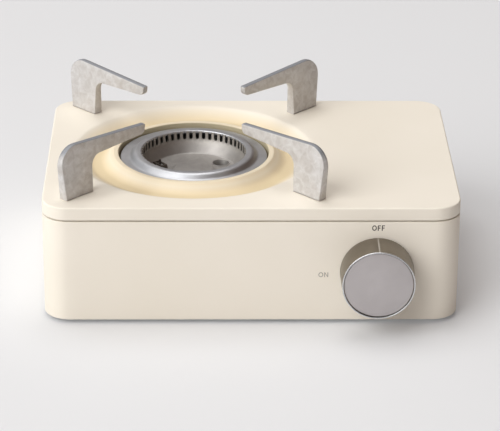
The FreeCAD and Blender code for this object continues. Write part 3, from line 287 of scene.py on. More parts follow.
def burner_place(tree):
    """Coordinates from the burner's foot, the distance from its axis and the height, all in metres."""
    where = place(tree, BURNER)
    flat = add(tree, "ShaderNodeVectorMath", {0: where, 1: (1, 1, 0)}, operation="MULTIPLY")
    distance = add(tree, "ShaderNodeVectorMath", {0: flat}, operation="LENGTH")
    height = add(tree, "ShaderNodeSeparateXYZ", {"Vector": where}).outputs["Z"]
    return where, distance, height


def per_mm(size):
    """A texture's scale for a pattern of that size in millimetres."""
    return 1 / (size * MM)


def patches(tree, where, size, low=0.35, high=0.65, **noise):
    """Soft patches about that many millimetres across, as a share from 0 to 1."""
    cloud = add(tree, "ShaderNodeTexNoise", {"Vector": where, "Scale": per_mm(size), **noise})
    return add(tree, "ShaderNodeMapRange", {"Value": cloud, "From Min": low, "From Max": high})


def layered(tree, colour, *layers):
    """Lays tints over a colour, each by its own share."""
    for share, tint in layers:
        inputs = {"Factor": share, "A": colour, "B": linear(tint)}
        colour = add(tree, "ShaderNodeMix", inputs, data_type="RGBA")
    return colour


def mottled(tree, where, size, dark, light, **noise):
    """Two near shades of a colour in soft patches."""
    return layered(tree, linear(dark), (patches(tree, where, size, **noise), light))


def grained(tree, where, size, depth, under=None, **noise):
    """A skin with bumps about that many millimetres across and deep, laid over another one."""
    grains = add(tree, "ShaderNodeTexNoise", {"Vector": where, "Scale": per_mm(size), **noise})
    inputs = {"Height": grains, "Distance": depth * MM}
    if under is not None:
        inputs["Normal"] = under
    return add(tree, "ShaderNodeBump", inputs)


def tool_marks(tree, distance, pitch):
    """Rings left by a turning tool, a pitch in millimetres apart, with uneven depth.

    Real ones are under 0.1 mm apart, and are drawn at 0.45 to 0.8 mm, so that they show.
    """
    turns = add(tree, "ShaderNodeMath", {0: distance, 1: per_mm(pitch)}, operation="MULTIPLY")
    return add(tree, "ShaderNodeTexNoise", {"W": turns, "Scale": 1.0, "Detail": 2}, noise_dimensions="1D")


def wire(tree, shader, colour, normal, roughness=None):
    """Links what a finish gives to its shader."""
    tree.links.new(result(colour), shader.inputs["Base Color"])
    tree.links.new(result(normal), shader.inputs["Normal"])
    if roughness is not None:
        tree.links.new(result(roughness), shader.inputs["Roughness"])


def textured(tree, shader, colour, pattern, depth, shiny, dull):
    """Links a colour, and a pattern that raises the surface by a depth and sets how dull it is."""
    dullness = add(tree, "ShaderNodeMapRange", {
        "Value": pattern, "From Min": 0.3, "From Max": 0.7, "To Min": shiny, "To Max": dull})
    raised = add(tree, "ShaderNodeBump", {"Height": pattern, "Distance": depth * MM})
    wire(tree, shader, colour, raised, dullness)


def ivory_enamel():
    """Sprayed and stoved enamel on pressed steel: satin, with a faint orange peel."""
    material, tree, shader = new_material("ivory_stoved_enamel", Roughness=0.6)
    where, distance, height = burner_place(tree)
    # Painted shade: the enamel is tinted a deeper, warmer shade in the recess, most of all at its floor, and
    # up to the crest, for the shade and warm bounce light there
    depth = add(tree, "ShaderNodeMapRange", {
        "Value": height, "From Min": TOP * MM, "From Max": RECESS_FLOOR * MM})
    near = add(tree, "ShaderNodeMapRange", {
        "Value": distance, "From Min": RECESS_SHADE_EDGE * MM, "From Max": RECESS_SHADE_FULL * MM})
    painted_shading_tint = add(tree, "ShaderNodeMath", {0: depth, 1: near}, operation="MULTIPLY")
    crest = add(tree, "ShaderNodeMapRange", {
        "Value": distance, "From Min": CREST_SHADE_EDGE * MM, "From Max": CREST_SHADE_FULL * MM, "To Max": 0.6})
    painted_shading_tint = add(tree, "ShaderNodeMath", {0: painted_shading_tint, 1: crest}, operation="MAXIMUM")
    # Painted shadow: the wall of the burner's hole is painted dark brown, for the shade in the gap beside the
    # ring
    hole = add(tree, "ShaderNodeMapRange", {
        "Value": distance, "From Min": (HOLE_RADIUS + 0.6) * MM, "From Max": (HOLE_RADIUS + 0.1) * MM})
    colour = mottled(tree, where, 90, "#F0E8D9", "#F3EBDD", Detail=2, Roughness=0.55)
    colour = layered(tree, colour, (painted_shading_tint, "#E5D2AC"), (hole, "#B0A487"))
    wire(tree, shader, colour, grained(tree, where, 2.2, 0.012, Detail=2, Roughness=0.5))
    return material


def cast_aluminium():
    """Die-cast aluminium as it leaves the mould: grey, mottled, with a sandy skin and flow marks."""
    material, tree, shader = new_material("cast_aluminium", Metallic=0.4, Roughness=0.6)
    where = place(tree)
    cloud = patches(tree, where, 5, 0.36, 0.66, Detail=5, Roughness=0.62, Distortion=0.6)
    stains = patches(tree, where, 14, 0.48, 0.72, Detail=3, Roughness=0.5, Distortion=1.2)
    stains = add(tree, "ShaderNodeMath", {0: stains, 1: 0.3}, operation="MULTIPLY")
    # Painted shade: faces that point up are drawn darker and bluer than the flanks, by which way each face
    # points
    facing = add(tree, "ShaderNodeTexCoord").outputs["Normal"]
    upward = add(tree, "ShaderNodeSeparateXYZ", {"Vector": facing}).outputs["Z"]
    painted_top_shade = add(tree, "ShaderNodeMapRange", {"Value": upward, "From Min": 0.35, "From Max": 0.7})
    colour = layered(tree, linear("#C9C5C1"), (cloud, "#DBD9D7"), (stains, "#B9AFA6"), (painted_top_shade, "#95979B"))
    skin = grained(tree, where, 1.1, 0.05, Detail=3, Roughness=0.6)
    waves = grained(tree, where, 6, 0.12, skin, Detail=4, Roughness=0.6, Distortion=0.8)
    dullness = add(tree, "ShaderNodeMapRange", {"Value": cloud, "To Min": 0.66, "To Max": 0.56})
    wire(tree, shader, colour, waves, dullness)
    return material


def turned_aluminium():
    """Aluminium ring finished on a lathe: bluish grey, satin, with fine rings."""
    material, tree, shader = new_material("turned_aluminium", Metallic=1.0, Roughness=0.48)
    where, distance, _ = burner_place(tree)
    colour = mottled(tree, where, 14, "#C0C1C4", "#CBCCCF", Detail=3, Roughness=0.55)
    textured(tree, shader, colour, tool_marks(tree, distance, 0.5), 0.01, 0.44, 0.52)
    return material


def stainless_bowl():
    """Stainless sheet drawn into a bowl and blasted matt: warm grey, paler and straw-coloured towards the
    top, partly heat tint and partly painted light on the shaded fins.
    """
    material, tree, shader = new_material("blasted_stainless_steel", Metallic=1.0, Roughness=0.58)
    where, distance, height = burner_place(tree)
    cloud = patches(tree, where, 12, 0.35, 0.68, Detail=4, Roughness=0.6, Distortion=0.5)
    # Painted light, partly straw heat tint: the wall turns paler and warmer towards the top, brightening the
    # shaded fins
    painted_shading_tint = add(tree, "ShaderNodeMapRange", {
        "Value": height, "From Min": STRAW_AND_LIGHT_FROM * MM, "From Max": STRAW_AND_LIGHT_FULL * MM, "To Max": 0.3})
    colour = layered(tree, linear("#A5A19D"), (cloud, "#B6B2AE"), (painted_shading_tint, "#D8D0C2"))
    grain = grained(tree, where, 0.9, 0.03, Detail=3, Roughness=0.6)
    marks = add(tree, "ShaderNodeBump", {
        "Height": tool_marks(tree, distance, 0.8), "Distance": 0.01 * MM, "Normal": grain})
    dullness = add(tree, "ShaderNodeMapRange", {"Value": cloud, "To Min": 0.6, "To Max": 0.55})
    wire(tree, shader, colour, marks, dullness)
    return material


def anodised_face():
    """Knob face: aluminium disc, bead blasted and clear anodised, so it is matt with a fine grain.

    The real grain is about 0.1 mm, and is drawn at 0.7 mm, so that it shows.
    """
    material, tree, shader = new_material("bead_blasted_aluminium", Metallic=0.9, Roughness=0.46)
    where = place(tree)
    grain = add(tree, "ShaderNodeTexNoise", {
        "Vector": where, "Scale": per_mm(0.7), "Detail": 2, "Roughness": 0.6})
    colour = mottled(tree, where, 20, "#BEB9B9", "#C5C0C0", Detail=2, Roughness=0.55)
    textured(tree, shader, colour, grain, 0.02, 0.42, 0.5)
    return material


def anodised_barrel():
    """Knob barrel: aluminium turned along its length and anodised, with rings round it; its brownish grey is
    a painted reflection of the cream enamel round it.
    """
    material, tree, shader = new_material("turned_anodised_aluminium", Metallic=1.0, Roughness=0.36)
    where = place(tree)
    along = add(tree, "ShaderNodeSeparateXYZ", {"Vector": where}).outputs["Y"]
    # Brownish grey base colour: painted reflection of the cream enamel round the knob
    colour = mottled(tree, where, 20, "#827A6E", "#8E867A", Detail=2, Roughness=0.55)
    textured(tree, shader, colour, tool_marks(tree, along, 0.45), 0.01, 0.3, 0.42)
    return material


def galvanised_steel():
    """Hot-dip galvanised sheet, left bare: large flat crystals, each with its own grey."""
    material, tree, shader = new_material("galvanised_steel", Metallic=0.9, Roughness=0.45)
    where = place(tree, turn=(0.1, 0.15, 0.4))
    crystals = add(tree, "ShaderNodeTexVoronoi", {"Vector": where, "Scale": per_mm(9), "Randomness": 1.0})
    shade = add(tree, "ShaderNodeSeparateColor", {"Color": crystals.outputs["Color"]}).outputs[0]
    colour = layered(tree, linear("#8E9194"), (shade, "#B4B7B9"))
    dullness = add(tree, "ShaderNodeMapRange", {"Value": shade, "To Min": 0.36, "To Max": 0.55})
    wire(tree, shader, colour, grained(tree, where, 3, 0.02, Detail=3, Roughness=0.55), dullness)
    return material


def moulded(name, dark, light, roughness, grain, depth):
    """A moulded material: two near shades in soft patches, and a skin whose grain is that many mm across."""
    material, tree, shader = new_material(name, Roughness=roughness)
    where = place(tree)
    skin = add(tree, "ShaderNodeTexNoise", {
        "Vector": where, "Scale": per_mm(grain), "Detail": 2, "Roughness": 0.6})
    colour = mottled(tree, where, 6, dark, light, Detail=3, Roughness=0.55)
    textured(tree, shader, colour, skin, depth, roughness - 0.06, roughness + 0.06)
    return material


def small_metal(name, dark, light, roughness, grain, depth):
    """A small metal part: two near shades in patches, and a skin whose grain is that many mm across."""
    material, tree, shader = new_material(name, Metallic=1.0, Roughness=roughness)
    where = place(tree)
    skin = add(tree, "ShaderNodeTexNoise", {
        "Vector": where, "Scale": per_mm(grain), "Detail": 3, "Roughness": 0.6})
    colour = mottled(tree, where, 5, dark, light, Detail=4, Roughness=0.6)
    textured(tree, shader, colour, skin, depth, roughness - 0.07, roughness + 0.07)
    return material


MATERIALS = {
    "ivory_paint": ivory_enamel(),
    "cast_aluminium": cast_aluminium(),
    "turned_aluminium": turned_aluminium(),
    "stainless_steel": stainless_bowl(),
    "satin_silver": anodised_face(),
    "galvanised_steel": galvanised_steel(),
    # Natural rubber, moulded: nearly black, dull, a little dusty
    "black_rubber": moulded("moulded_rubber", "#1B1B1C", "#2A2A2B", 0.68, 0.8, 0.05),
    # Acetal, machined from bar: milky white with a soft shine
    "acetal": moulded("machined_acetal", "#DAD8D2", "#E6E4DF", 0.4, 0.6, 0.01),
    # ABS housing, moulded: black with a fine spark-eroded grain
    "igniter_plastic": moulded("moulded_abs", "#1A1A1C", "#262629", 0.5, 0.5, 0.03),
    # Silicone sleeve, extruded: off-white, waxy
    "silicone_lead": moulded("extruded_silicone", "#CFCABD", "#DDD9CE", 0.48, 1.2, 0.01),
    # Steatite tube, glazed: white and smooth
    "ceramic": moulded("glazed_steatite", "#E4E1D9", "#EFEDE7", 0.22, 1.5, 0.005),
    # Marker line: pale grey enamel wiped into a groove
    "marker_white": moulded("wiped_in_enamel", "#9C958A", "#A8A196", 0.5, 0.8, 0.01),
    # Zinc-plated steel: bright, slightly blue, with a drawn skin
    "plated_steel": small_metal("zinc_plated_steel", "#B4B8BB", "#CDD0D1", 0.32, 0.7, 0.01),
    # Brass bar, machined: yellow with fine tool marks
    "brass": small_metal("machined_brass", "#C29A4C", "#D9B566", 0.3, 0.5, 0.01),
    # Zinc alloy, die cast and tumbled: dull mid grey
    "zinc_alloy": small_metal("tumbled_zinc_alloy", "#84878A", "#9EA1A3", 0.5, 1.0, 0.04),
    # Magnets, nickel plated: smooth and grey
    "magnet": small_metal("nickel_plated_magnet", "#9A9A98", "#B2B2AF", 0.22, 1.5, 0.005),
}
BARREL_FINISH = anodised_barrel()
# Rim of the knob, cut with a diamond tool after anodising: bright
RIM_FINISH = small_metal("diamond_cut_aluminium", "#C9CACC", "#D8D9DA", 0.26, 0.8, 0.004)
# Electrode and its bracket: stainless steel painted dark grey, as painted shade for the slot round the spark
# gap
SLOT_SHADE_FINISH = small_metal("heat_blackened_steel", "#5C554F", "#787069", 0.5, 0.8, 0.02)
# Printing ink, pad printed on the enamel: matt, nearly black for OFF and a paler grey for ON
INK_DARK = moulded("printed_dark_ink", "#3B3734", "#45413D", 0.6, 0.5, 0.002)
INK_PALE = moulded("printed_grey_ink", "#9C958C", "#A69F96", 0.6, 0.5, 0.002)


def corner_points(before, corner, after, radius, steps):
    """Points of the arc that rounds one corner of a path."""
    corner = Vector(corner)
    one = (Vector(before) - corner).normalized()
    two = (Vector(after) - corner).normalized()
    half = one.angle(two) / 2
    if radius <= 0 or abs(half - math.pi / 2) < 1e-4:
        return [corner]
    reach = min(radius / math.tan(half), 0.999 * min((Vector(p) - corner).length for p in (before, after)))
    radius = reach * math.tan(half)
    centre = corner + (one + two).normalized() * (radius / math.sin(half))
    start = corner + one * reach - centre
    sweep = math.pi - 2 * half
    way = 1 if start.x * (corner - centre).y - start.y * (corner - centre).x > 0 else -1
    count = max(2, round(steps * sweep / (math.pi / 2)))
    return [centre + Matrix.Rotation(way * sweep * i / count, 2) @ start for i in range(count + 1)]


def rounded(path, closed=True, steps=6):
    """A path of (x, y, radius) corners as points, with an arc of those steps per quarter turn."""
    points = []
    last = len(path) - 1
    for i, (x, y, radius) in enumerate(path):
        if not closed and i in (0, last):
            points.append(Vector((x, y)))
            continue
        before = path[i - 1][:2]
        after = path[(i + 1) % len(path)][:2]
        points += corner_points(before, (x, y), after, radius, steps)
    return points


def sheet(path, thickness, steps):
    """A closed section of bent sheet: the path, and its offset to the right of the way along it."""
    points = rounded(path, closed=False, steps=steps)
    offset = []
    for i, point in enumerate(points):
        one = (point - points[i - 1]).normalized() if i else None
        two = (points[i + 1] - point).normalized() if i < len(points) - 1 else None
        one, two = one or two, two or one
        way = (one + two).normalized()
        side = Vector((way.y, -way.x))
        offset.append(point + side * (thickness / max(way.dot(one), 0.5)))
    return points + offset[::-1]


def cap(work, ring):
    """Closes a flat outline, which may be hollow on one side, with triangles."""
    face = work.faces.new(ring)
    face.normal_update()
    bmesh.ops.triangulate(work, faces=[face], ngon_method="EAR_CLIP")


def make_object(work, name, weld=0.0):
    """Turns a bmesh in millimetres into an object in metres, with its faces outwards."""
    if weld:
        bmesh.ops.remove_doubles(work, verts=work.verts, dist=weld)
    bmesh.ops.recalc_face_normals(work, faces=work.faces)
    mesh = bpy.data.meshes.new(name)
    work.to_mesh(mesh)
    work.free()
    mesh.transform(Matrix.Scale(MM, 4))
    made = bpy.data.objects.new(name, mesh)
    bpy.context.scene.collection.objects.link(made)
    return made


def discard(helper):
    """Removes a helper object and its mesh."""
    mesh = helper.data
    bpy.data.objects.remove(helper)
    bpy.data.meshes.remove(mesh)


def dress(piece, slot, sharp, body=BODY, replaced=(), material=None):
    """Shades a piece, gives it its slot's finish or another one, says what it rides on and hides the CAD
    nodes it stands for.
    """
    piece.data.shade_smooth()
    piece.data.set_sharp_from_angle(angle=math.radians(sharp))
    piece.data.materials.clear()
    piece.data.materials.append(material or MATERIALS[slot])
    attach(piece, body)
    if replaced:
        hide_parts(*replaced)


def finish_mesh(work, name, slot, sharp=40, body=BODY, replaced=(), weld=1e-4, material=None):
    """Turns a bmesh in millimetres into a dressed piece."""
    piece = make_object(work, name, weld)
    dress(piece, slot, sharp, body, replaced, material)
    return piece


def baked(piece):
    """Applies a piece's modifiers into a plain mesh."""
    graph = bpy.context.evaluated_depsgraph_get()
    graph.update()
    mesh = bpy.data.meshes.new_from_object(piece.evaluated_get(graph))
    piece.modifiers.clear()
    old = piece.data
    piece.data = mesh
    bpy.data.meshes.remove(old)
    mesh.name = piece.name


def thicken(piece, thickness, offset):
    """Gives a skin the thickness of its sheet, inwards for an offset of -1 and outwards for 1."""
    wall = piece.modifiers.new("wall", "SOLIDIFY")
    wall.thickness = thickness * MM
    wall.offset = offset
    wall.use_even_offset = True
    baked(piece)


def cut(piece, cutters):
    """Cuts helper objects out of a piece and removes them."""
    for cutter in cutters:
        modifier = piece.modifiers.new("cut", "BOOLEAN")
        modifier.operation = "DIFFERENCE"
        modifier.solver = "EXACT"
        modifier.object = cutter
    baked(piece)
    for cutter in cutters:
        discard(cutter)


def band(work, low, high):
    """Joins two closed rings of vertices, of equal length, with quads."""
    for i in range(len(low)):
        j = (i + 1) % len(low)
        work.faces.new((low[i], low[j], high[j], high[i]))


def skin_loops(work, loops, closed=False):
    """Joins loops of equal length with quads, and the last to the first where the skin is closed."""
    rows = [[work.verts.new(p) for p in loop] for loop in loops]
    for low, high in zip(rows, rows[1:]):
        band(work, low, high)
    if closed:
        band(work, rows[-1], rows[0])
    return rows


def lathe(section, origin, axis="z", steps=192):
    """A section of (radius, height) round an upright axis, or of (radius, y) round the knob's axis."""
    loops = []
    for radius, along in section:
        loop = []
        for i in range(steps):
            angle = 2 * math.pi * i / steps
            across = (radius * math.cos(angle), radius * math.sin(angle))
            if axis == "z":
                loop.append(origin + Vector((across[0], across[1], along)))
            else:
                loop.append(Vector((origin.x + across[0], along, origin.z + across[1])))
        loops.append(loop)
    work = bmesh.new()
    skin_loops(work, loops, closed=True)
    return work


def case_loop(inset, height):
    """The casing's rounded outline, drawn in by an inset, with points along its sides too."""
    radius = max(CORNER_RADIUS - inset, 0.2)
    half_x = HALF_WIDTH - inset - radius
    half_y = HALF_DEPTH - inset - radius
    full_x = HALF_WIDTH - CORNER_RADIUS
    full_y = HALF_DEPTH - CORNER_RADIUS
    points = []
    corners = [(1, 1, 0), (-1, 1, 90), (-1, -1, 180), (1, -1, 270)]
    for k, (sx, sy, start) in enumerate(corners):
        centre = Vector((CASE_MIDDLE.x + sx * half_x, CASE_MIDDLE.y + sy * half_y, height))
        for i in range(CORNER_STEPS + 1):
            angle = math.radians(start + 90 * i / CORNER_STEPS)
            points.append(centre + radius * Vector((math.cos(angle), math.sin(angle), 0)))
        length = 2 * (full_x if k in (0, 2) else full_y)
        count = round(length / SIDE_STEP)
        nx, ny, next_start = corners[(k + 1) % 4]
        angle = math.radians(next_start)
        next_centre = Vector((CASE_MIDDLE.x + nx * half_x, CASE_MIDDLE.y + ny * half_y, height))
        end = next_centre + radius * Vector((math.cos(angle), math.sin(angle), 0))
        begin = points[-1]
        points += [begin.lerp(end, i / count) for i in range(1, count)]
    return points


def top_plate():
    """Pressed top: rolled edge, shallow recess with a raised collar round the burner."""
    edge_steps = 6
    loops = [case_loop(0, SEAM), case_loop(0, SEAM + 3), case_loop(0, TOP - PLATE_EDGE)]
    for i in range(1, edge_steps + 1):
        angle = math.pi / 2 * i / edge_steps
        inset = PLATE_EDGE * (1 - math.cos(angle))
        loops.append(case_loop(inset, TOP - PLATE_EDGE * (1 - math.sin(angle))))
    loops.append(case_loop(PLATE_EDGE + 0.6, TOP))
    angles = [math.atan2(p.y - BURNER.y, p.x - BURNER.x) for p in loops[-1]]
    recess = rounded([
        (RIM_RADIUS, TOP, 0), (RECESS_RADIUS, TOP, 7.0), (RECESS_FLOOR_RADIUS, RECESS_FLOOR, 8.0),
        (CREST_FOOT_RADIUS, RECESS_FLOOR, 7.5), (CREST_RADIUS, CREST, 1.5), (HOLE_RADIUS, CREST, 0.9),
        (HOLE_RADIUS, COLLAR_LOW, 0),
    ], closed=False, steps=14)
    for radius, height in [(RIM_RADIUS + 0.8, TOP)] + [tuple(p) for p in recess]:
        loops.append([BURNER + Vector((radius * math.cos(a), radius * math.sin(a), height)) for a in angles])
    work = bmesh.new()
    skin_loops(work, loops)
    piece = make_object(work, "top_plate_pressing", weld=1e-4)
    thicken(piece, SHEET, -1)
    dress(piece, "ivory_paint", 40, replaced=["top_plate"])


def bay_cutter():
    """The arched way in for the cartridge, as a block that cuts the back wall."""
    steps = 48
    arch = [(BAY_RADIUS, BAY_FLOOR), (BAY_RADIUS, KNOB_AXIS.z)]
    for i in range(1, steps):
        angle = math.pi * i / steps
        arch.append((BAY_RADIUS * math.cos(angle), KNOB_AXIS.z + BAY_RADIUS * math.sin(angle)))
    arch += [(-BAY_RADIUS, KNOB_AXIS.z), (-BAY_RADIUS, BAY_FLOOR)]
    work = bmesh.new()
    near = [work.verts.new((KNOB_AXIS.x + x, BACK - 3 * SHEET, z)) for x, z in arch]
    far = [work.verts.new((KNOB_AXIS.x + x, BACK + 3, z)) for x, z in arch]
    work.faces.new(near)
    work.faces.new(far[::-1])
    band(work, near, far)
    return make_object(work, "bay_cutter")


def rod_cutter(radius, low, high, axis="z"):
    """A round bar that cuts a hole; its ends are points on an upright or a front-to-back axis."""
    work = bmesh.new()
    turn = Matrix.Identity(4) if axis == "z" else Matrix.Rotation(math.pi / 2, 4, "X")
    bmesh.ops.create_cone(work, cap_ends=True, segments=64, radius1=radius, radius2=radius,
                          depth=(high - low).length, matrix=Matrix.Translation((low + high) / 2) @ turn)
    return make_object(work, "rod_cutter")


def lower_casing():
    """Folded box with rounded corners, an upstand inside the top's skirt and a flange at the base."""
    upstand_top = SEAM + UPSTAND_RISE
    section = rounded([
        (0, WALL_LOW, 0.3), (0, WALL_TOP, 0.5), (UPSTAND_INSET, WALL_TOP, 0.2),
        (UPSTAND_INSET, upstand_top, 0.2), (UPSTAND_INSET + SHEET, upstand_top, 0.2),
        (UPSTAND_INSET + SHEET, WALL_TOP - SHEET, 0.2), (SHEET, WALL_TOP - SHEET, 0.2),
        (SHEET, FLANGE_LOW + SHEET, 0.3),
        (SHEET + FLANGE_WIDTH, FLANGE_LOW + SHEET, 0.2), (SHEET + FLANGE_WIDTH, FLANGE_LOW, 0.2),
        (SHEET, FLANGE_LOW, 0.1), (SHEET, WALL_LOW, 0.3),
    ], steps=4)
    work = bmesh.new()
    skin_loops(work, [case_loop(p.x, p.y) for p in section], closed=True)
    piece = finish_mesh(work, "casing_walls", "ivory_paint", 32, replaced=["lower_casing"])
    ends = [Vector((KNOB_AXIS.x, y, KNOB_AXIS.z)) for y in (FRONT - 1, FRONT + 2)]
    cut(piece, [bay_cutter(), rod_cutter(BUSH_HOLE_RADIUS, *ends, axis="y")])
    piece.data.set_sharp_from_angle(angle=math.radians(32))


def offset_outline(points, inset):
    """An outline drawn in by an inset along its normals; the outline runs anticlockwise."""
    moved = []
    for i, point in enumerate(points):
        way = (points[(i + 1) % len(points)] - point).normalized() + (point - points[i - 1]).normalized()
        way.normalize()
        moved.append(point + Vector((-way.y, way.x)) * inset)
    return moved


def pan_support(name, turn):
    """Cast support whose edges slope from a mould line in the middle to rounded corners."""
    outline = rounded(SUPPORT_OUTLINE, steps=12)
    half = SUPPORT_THICKNESS / 2
    # Across the thickness: distance from the middle, and how far the outline is drawn in there
    stations = [(half, 0.8), (half - 0.1, 0.46), (half - 0.3, 0.28), (half - 0.6, 0.2), (0.45, 0.07),
                (0.22, 0.06), (0.12, 0.0)]
    stations += [(-across, inset) for across, inset in stations[::-1]]
    draft = (1 - SUPPORT_TOP_THICKNESS / SUPPORT_THICKNESS) / SUPPORT_RISE
    loops = []
    for across, inset in stations:
        moved = offset_outline(outline, inset)
        loops.append([Vector((p.x, -across * (1 - draft * p.y), TOP + max(p.y, 0.0))) for p in moved])
    work = bmesh.new()
    rows = skin_loops(work, loops)
    cap(work, rows[0])
    cap(work, rows[-1])
    work.transform(Matrix.Translation(BURNER) @ Matrix.Rotation(math.radians(turn), 4, "Z"))
    finish_mesh(work, "cast_support_" + name, "cast_aluminium", 38, replaced=["pan_support_" + name], weld=0)


def burner_head():
    """Turned ring: flat flange, rounded crest and a lip that hangs over the flame ports."""
    section = rounded([
        (RING_RADIUS, RING_UNDER, 0.3), (RING_RADIUS, RING_FLANGE, 0.5),
        (RING_SLOPE_RADIUS, RING_FLANGE, 2.6), (RING_CREST_RADIUS, RING_CREST, 3.6),
        (LIP_RADIUS, RING_CREST, 0.6), (LIP_RADIUS, LIP_UNDER, 0.1),
        (LIP_ROOT_RADIUS, LIP_UNDER - 0.2, 0.3), (RING_WALL_RADIUS, RING_UNDER, 0.2),
    ], steps=10)
    finish_mesh(lathe(section, BURNER), "turned_burner_ring", "turned_aluminium", replaced=["burner_head"])


def node_group(name, sockets):
    """An empty Geometry Nodes tree with named inputs; sockets are (name, type, default)."""
    tree = bpy.data.node_groups.new(name, "GeometryNodeTree")
    tree.interface.new_socket("Geometry", in_out="INPUT", socket_type="NodeSocketGeometry")
    for label, kind, default in sockets:
        socket = tree.interface.new_socket(label, in_out="INPUT", socket_type="NodeSocket" + kind)
        if default is not None:
            socket.default_value = default
    tree.interface.new_socket("Geometry", in_out="OUTPUT", socket_type="NodeSocketGeometry")
    return tree, add(tree, "NodeGroupInput").outputs


def end_tree(tree, copies, given, weld=0.0):
    """Realizes the instances, welds them and sets the material."""
    real = add(tree, "GeometryNodeRealizeInstances", {"Geometry": copies})
    if weld:
        real = add(tree, "GeometryNodeMergeByDistance", {"Geometry": real, "Distance": weld})
    made = add(tree, "GeometryNodeSetMaterial", {"Geometry": real, "Material": given["Material"]})
    add(tree, "NodeGroupOutput", {"Geometry": made})


def ring_tree():
    """Repeats one sector round an upright axis."""
    tree, given = node_group("repeat_round_axis", [
        ("Count", "Int", 12), ("Centre", "Vector", None), ("Material", "Material", None)])
    line = add(tree, "GeometryNodeMeshLine", {"Count": given["Count"], "Offset": (0, 0, 0)})
    index = add(tree, "GeometryNodeInputIndex")
    step = add(tree, "ShaderNodeMath", {0: 2 * math.pi, 1: given["Count"]}, operation="DIVIDE")
    angle = add(tree, "ShaderNodeMath", {0: index, 1: step}, operation="MULTIPLY")
    turn = add(tree, "ShaderNodeCombineXYZ", {"Z": angle})
    placed = add(tree, "GeometryNodeSetPosition", {"Geometry": line, "Offset": given["Centre"]})
    copies = add(tree, "GeometryNodeInstanceOnPoints", {
        "Points": placed, "Instance": given["Geometry"], "Rotation": turn})
    end_tree(tree, copies, given, weld=1e-5)
    return tree


def scatter_tree():
    """Puts a copy of one object on each point, turned at random about the upright axis."""
    tree, given = node_group("copy_on_points", [
        ("Copy", "Object", None), ("Seed", "Int", SCREW_SEED), ("Material", "Material", None)])
    copy = add(tree, "GeometryNodeObjectInfo", {"Object": given["Copy"]}).outputs["Geometry"]
    turn = add(tree, "FunctionNodeRandomValue", {
        "Min": (0, 0, 0), "Max": (0, 0, 2 * math.pi), "Seed": given["Seed"]}, data_type="FLOAT_VECTOR")
    copies = add(tree, "GeometryNodeInstanceOnPoints", {
        "Points": given["Geometry"], "Instance": copy, "Rotation": turn})
    end_tree(tree, copies, given)
    return tree


def run_tree(piece, tree, values):
    """Runs a tree on a piece with its inputs set by name, and keeps the result as a plain mesh."""
    modifier = piece.modifiers.new(tree.name, "NODES")
    modifier.node_group = tree
    for item in tree.interface.items_tree:
        if item.in_out == "INPUT" and item.name in values:
            modifier[item.identifier] = values[item.name]
    baked(piece)


def flame_sector():
    """One sector of the bowl's wall with half a fin on each side of a round-bottomed port."""
    profile = rounded([
        (FLAME_FOOT_RADIUS, FLAME_FOOT, 0), (FLAME_BEND_RADIUS, FLAME_BEND, 6.0), (FLAME_RADIUS, PORT_TOP, 0),
    ], closed=False, steps=24)

    def radius_at(height):
        for one, two in zip(profile, profile[1:]):
            if height <= two.y:
                return one.x + (two.x - one.x) * (height - one.y) / (two.y - one.y)
        return profile[-1].x

    half = PORT_WIDTH / 2
    port_low = PORT_TOP - PORT_HEIGHT
    round_centre = port_low + half
    edge = math.pi / PORT_COUNT * FLAME_RADIUS
    columns = [-edge, -(edge + half) / 2, -half, -half * 0.8, -half * 0.42, 0.0]
    columns += [-c for c in columns[-2::-1]]
    wall_rows = 8
    wall_heights = [FLAME_FOOT + (port_low - 0.5 - FLAME_FOOT) * i / wall_rows for i in range(wall_rows + 1)]
    work = bmesh.new()
    grid = []
    for column in columns:
        if abs(column) < half - 1e-6:
            heights = wall_heights + [round_centre - math.sqrt(half ** 2 - column ** 2)]
        else:
            heights = wall_heights + [round_centre, PORT_TOP]
        angle = column / FLAME_RADIUS
        grid.append([work.verts.new((radius_at(z) * math.cos(angle), radius_at(z) * math.sin(angle), z))
                     for z in heights])
    for left, right in zip(grid, grid[1:]):
        for i in range(min(len(left), len(right)) - 1):
            work.faces.new((left[i], right[i], right[i + 1], left[i + 1]))
    return work


def flame_ring(tree):
    """Bowl wall whose rim is cut into fins, with a flame port between each pair."""
    piece = make_object(flame_sector(), "flame_port_ring", weld=1e-4)
    values = {"Count": PORT_COUNT, "Centre": BURNER * MM, "Material": MATERIALS["stainless_steel"]}
    run_tree(piece, tree, values)
    thicken(piece, FLAME_WALL, 1)
    dress(piece, "stainless_steel", 40, replaced=["flame_ring"])


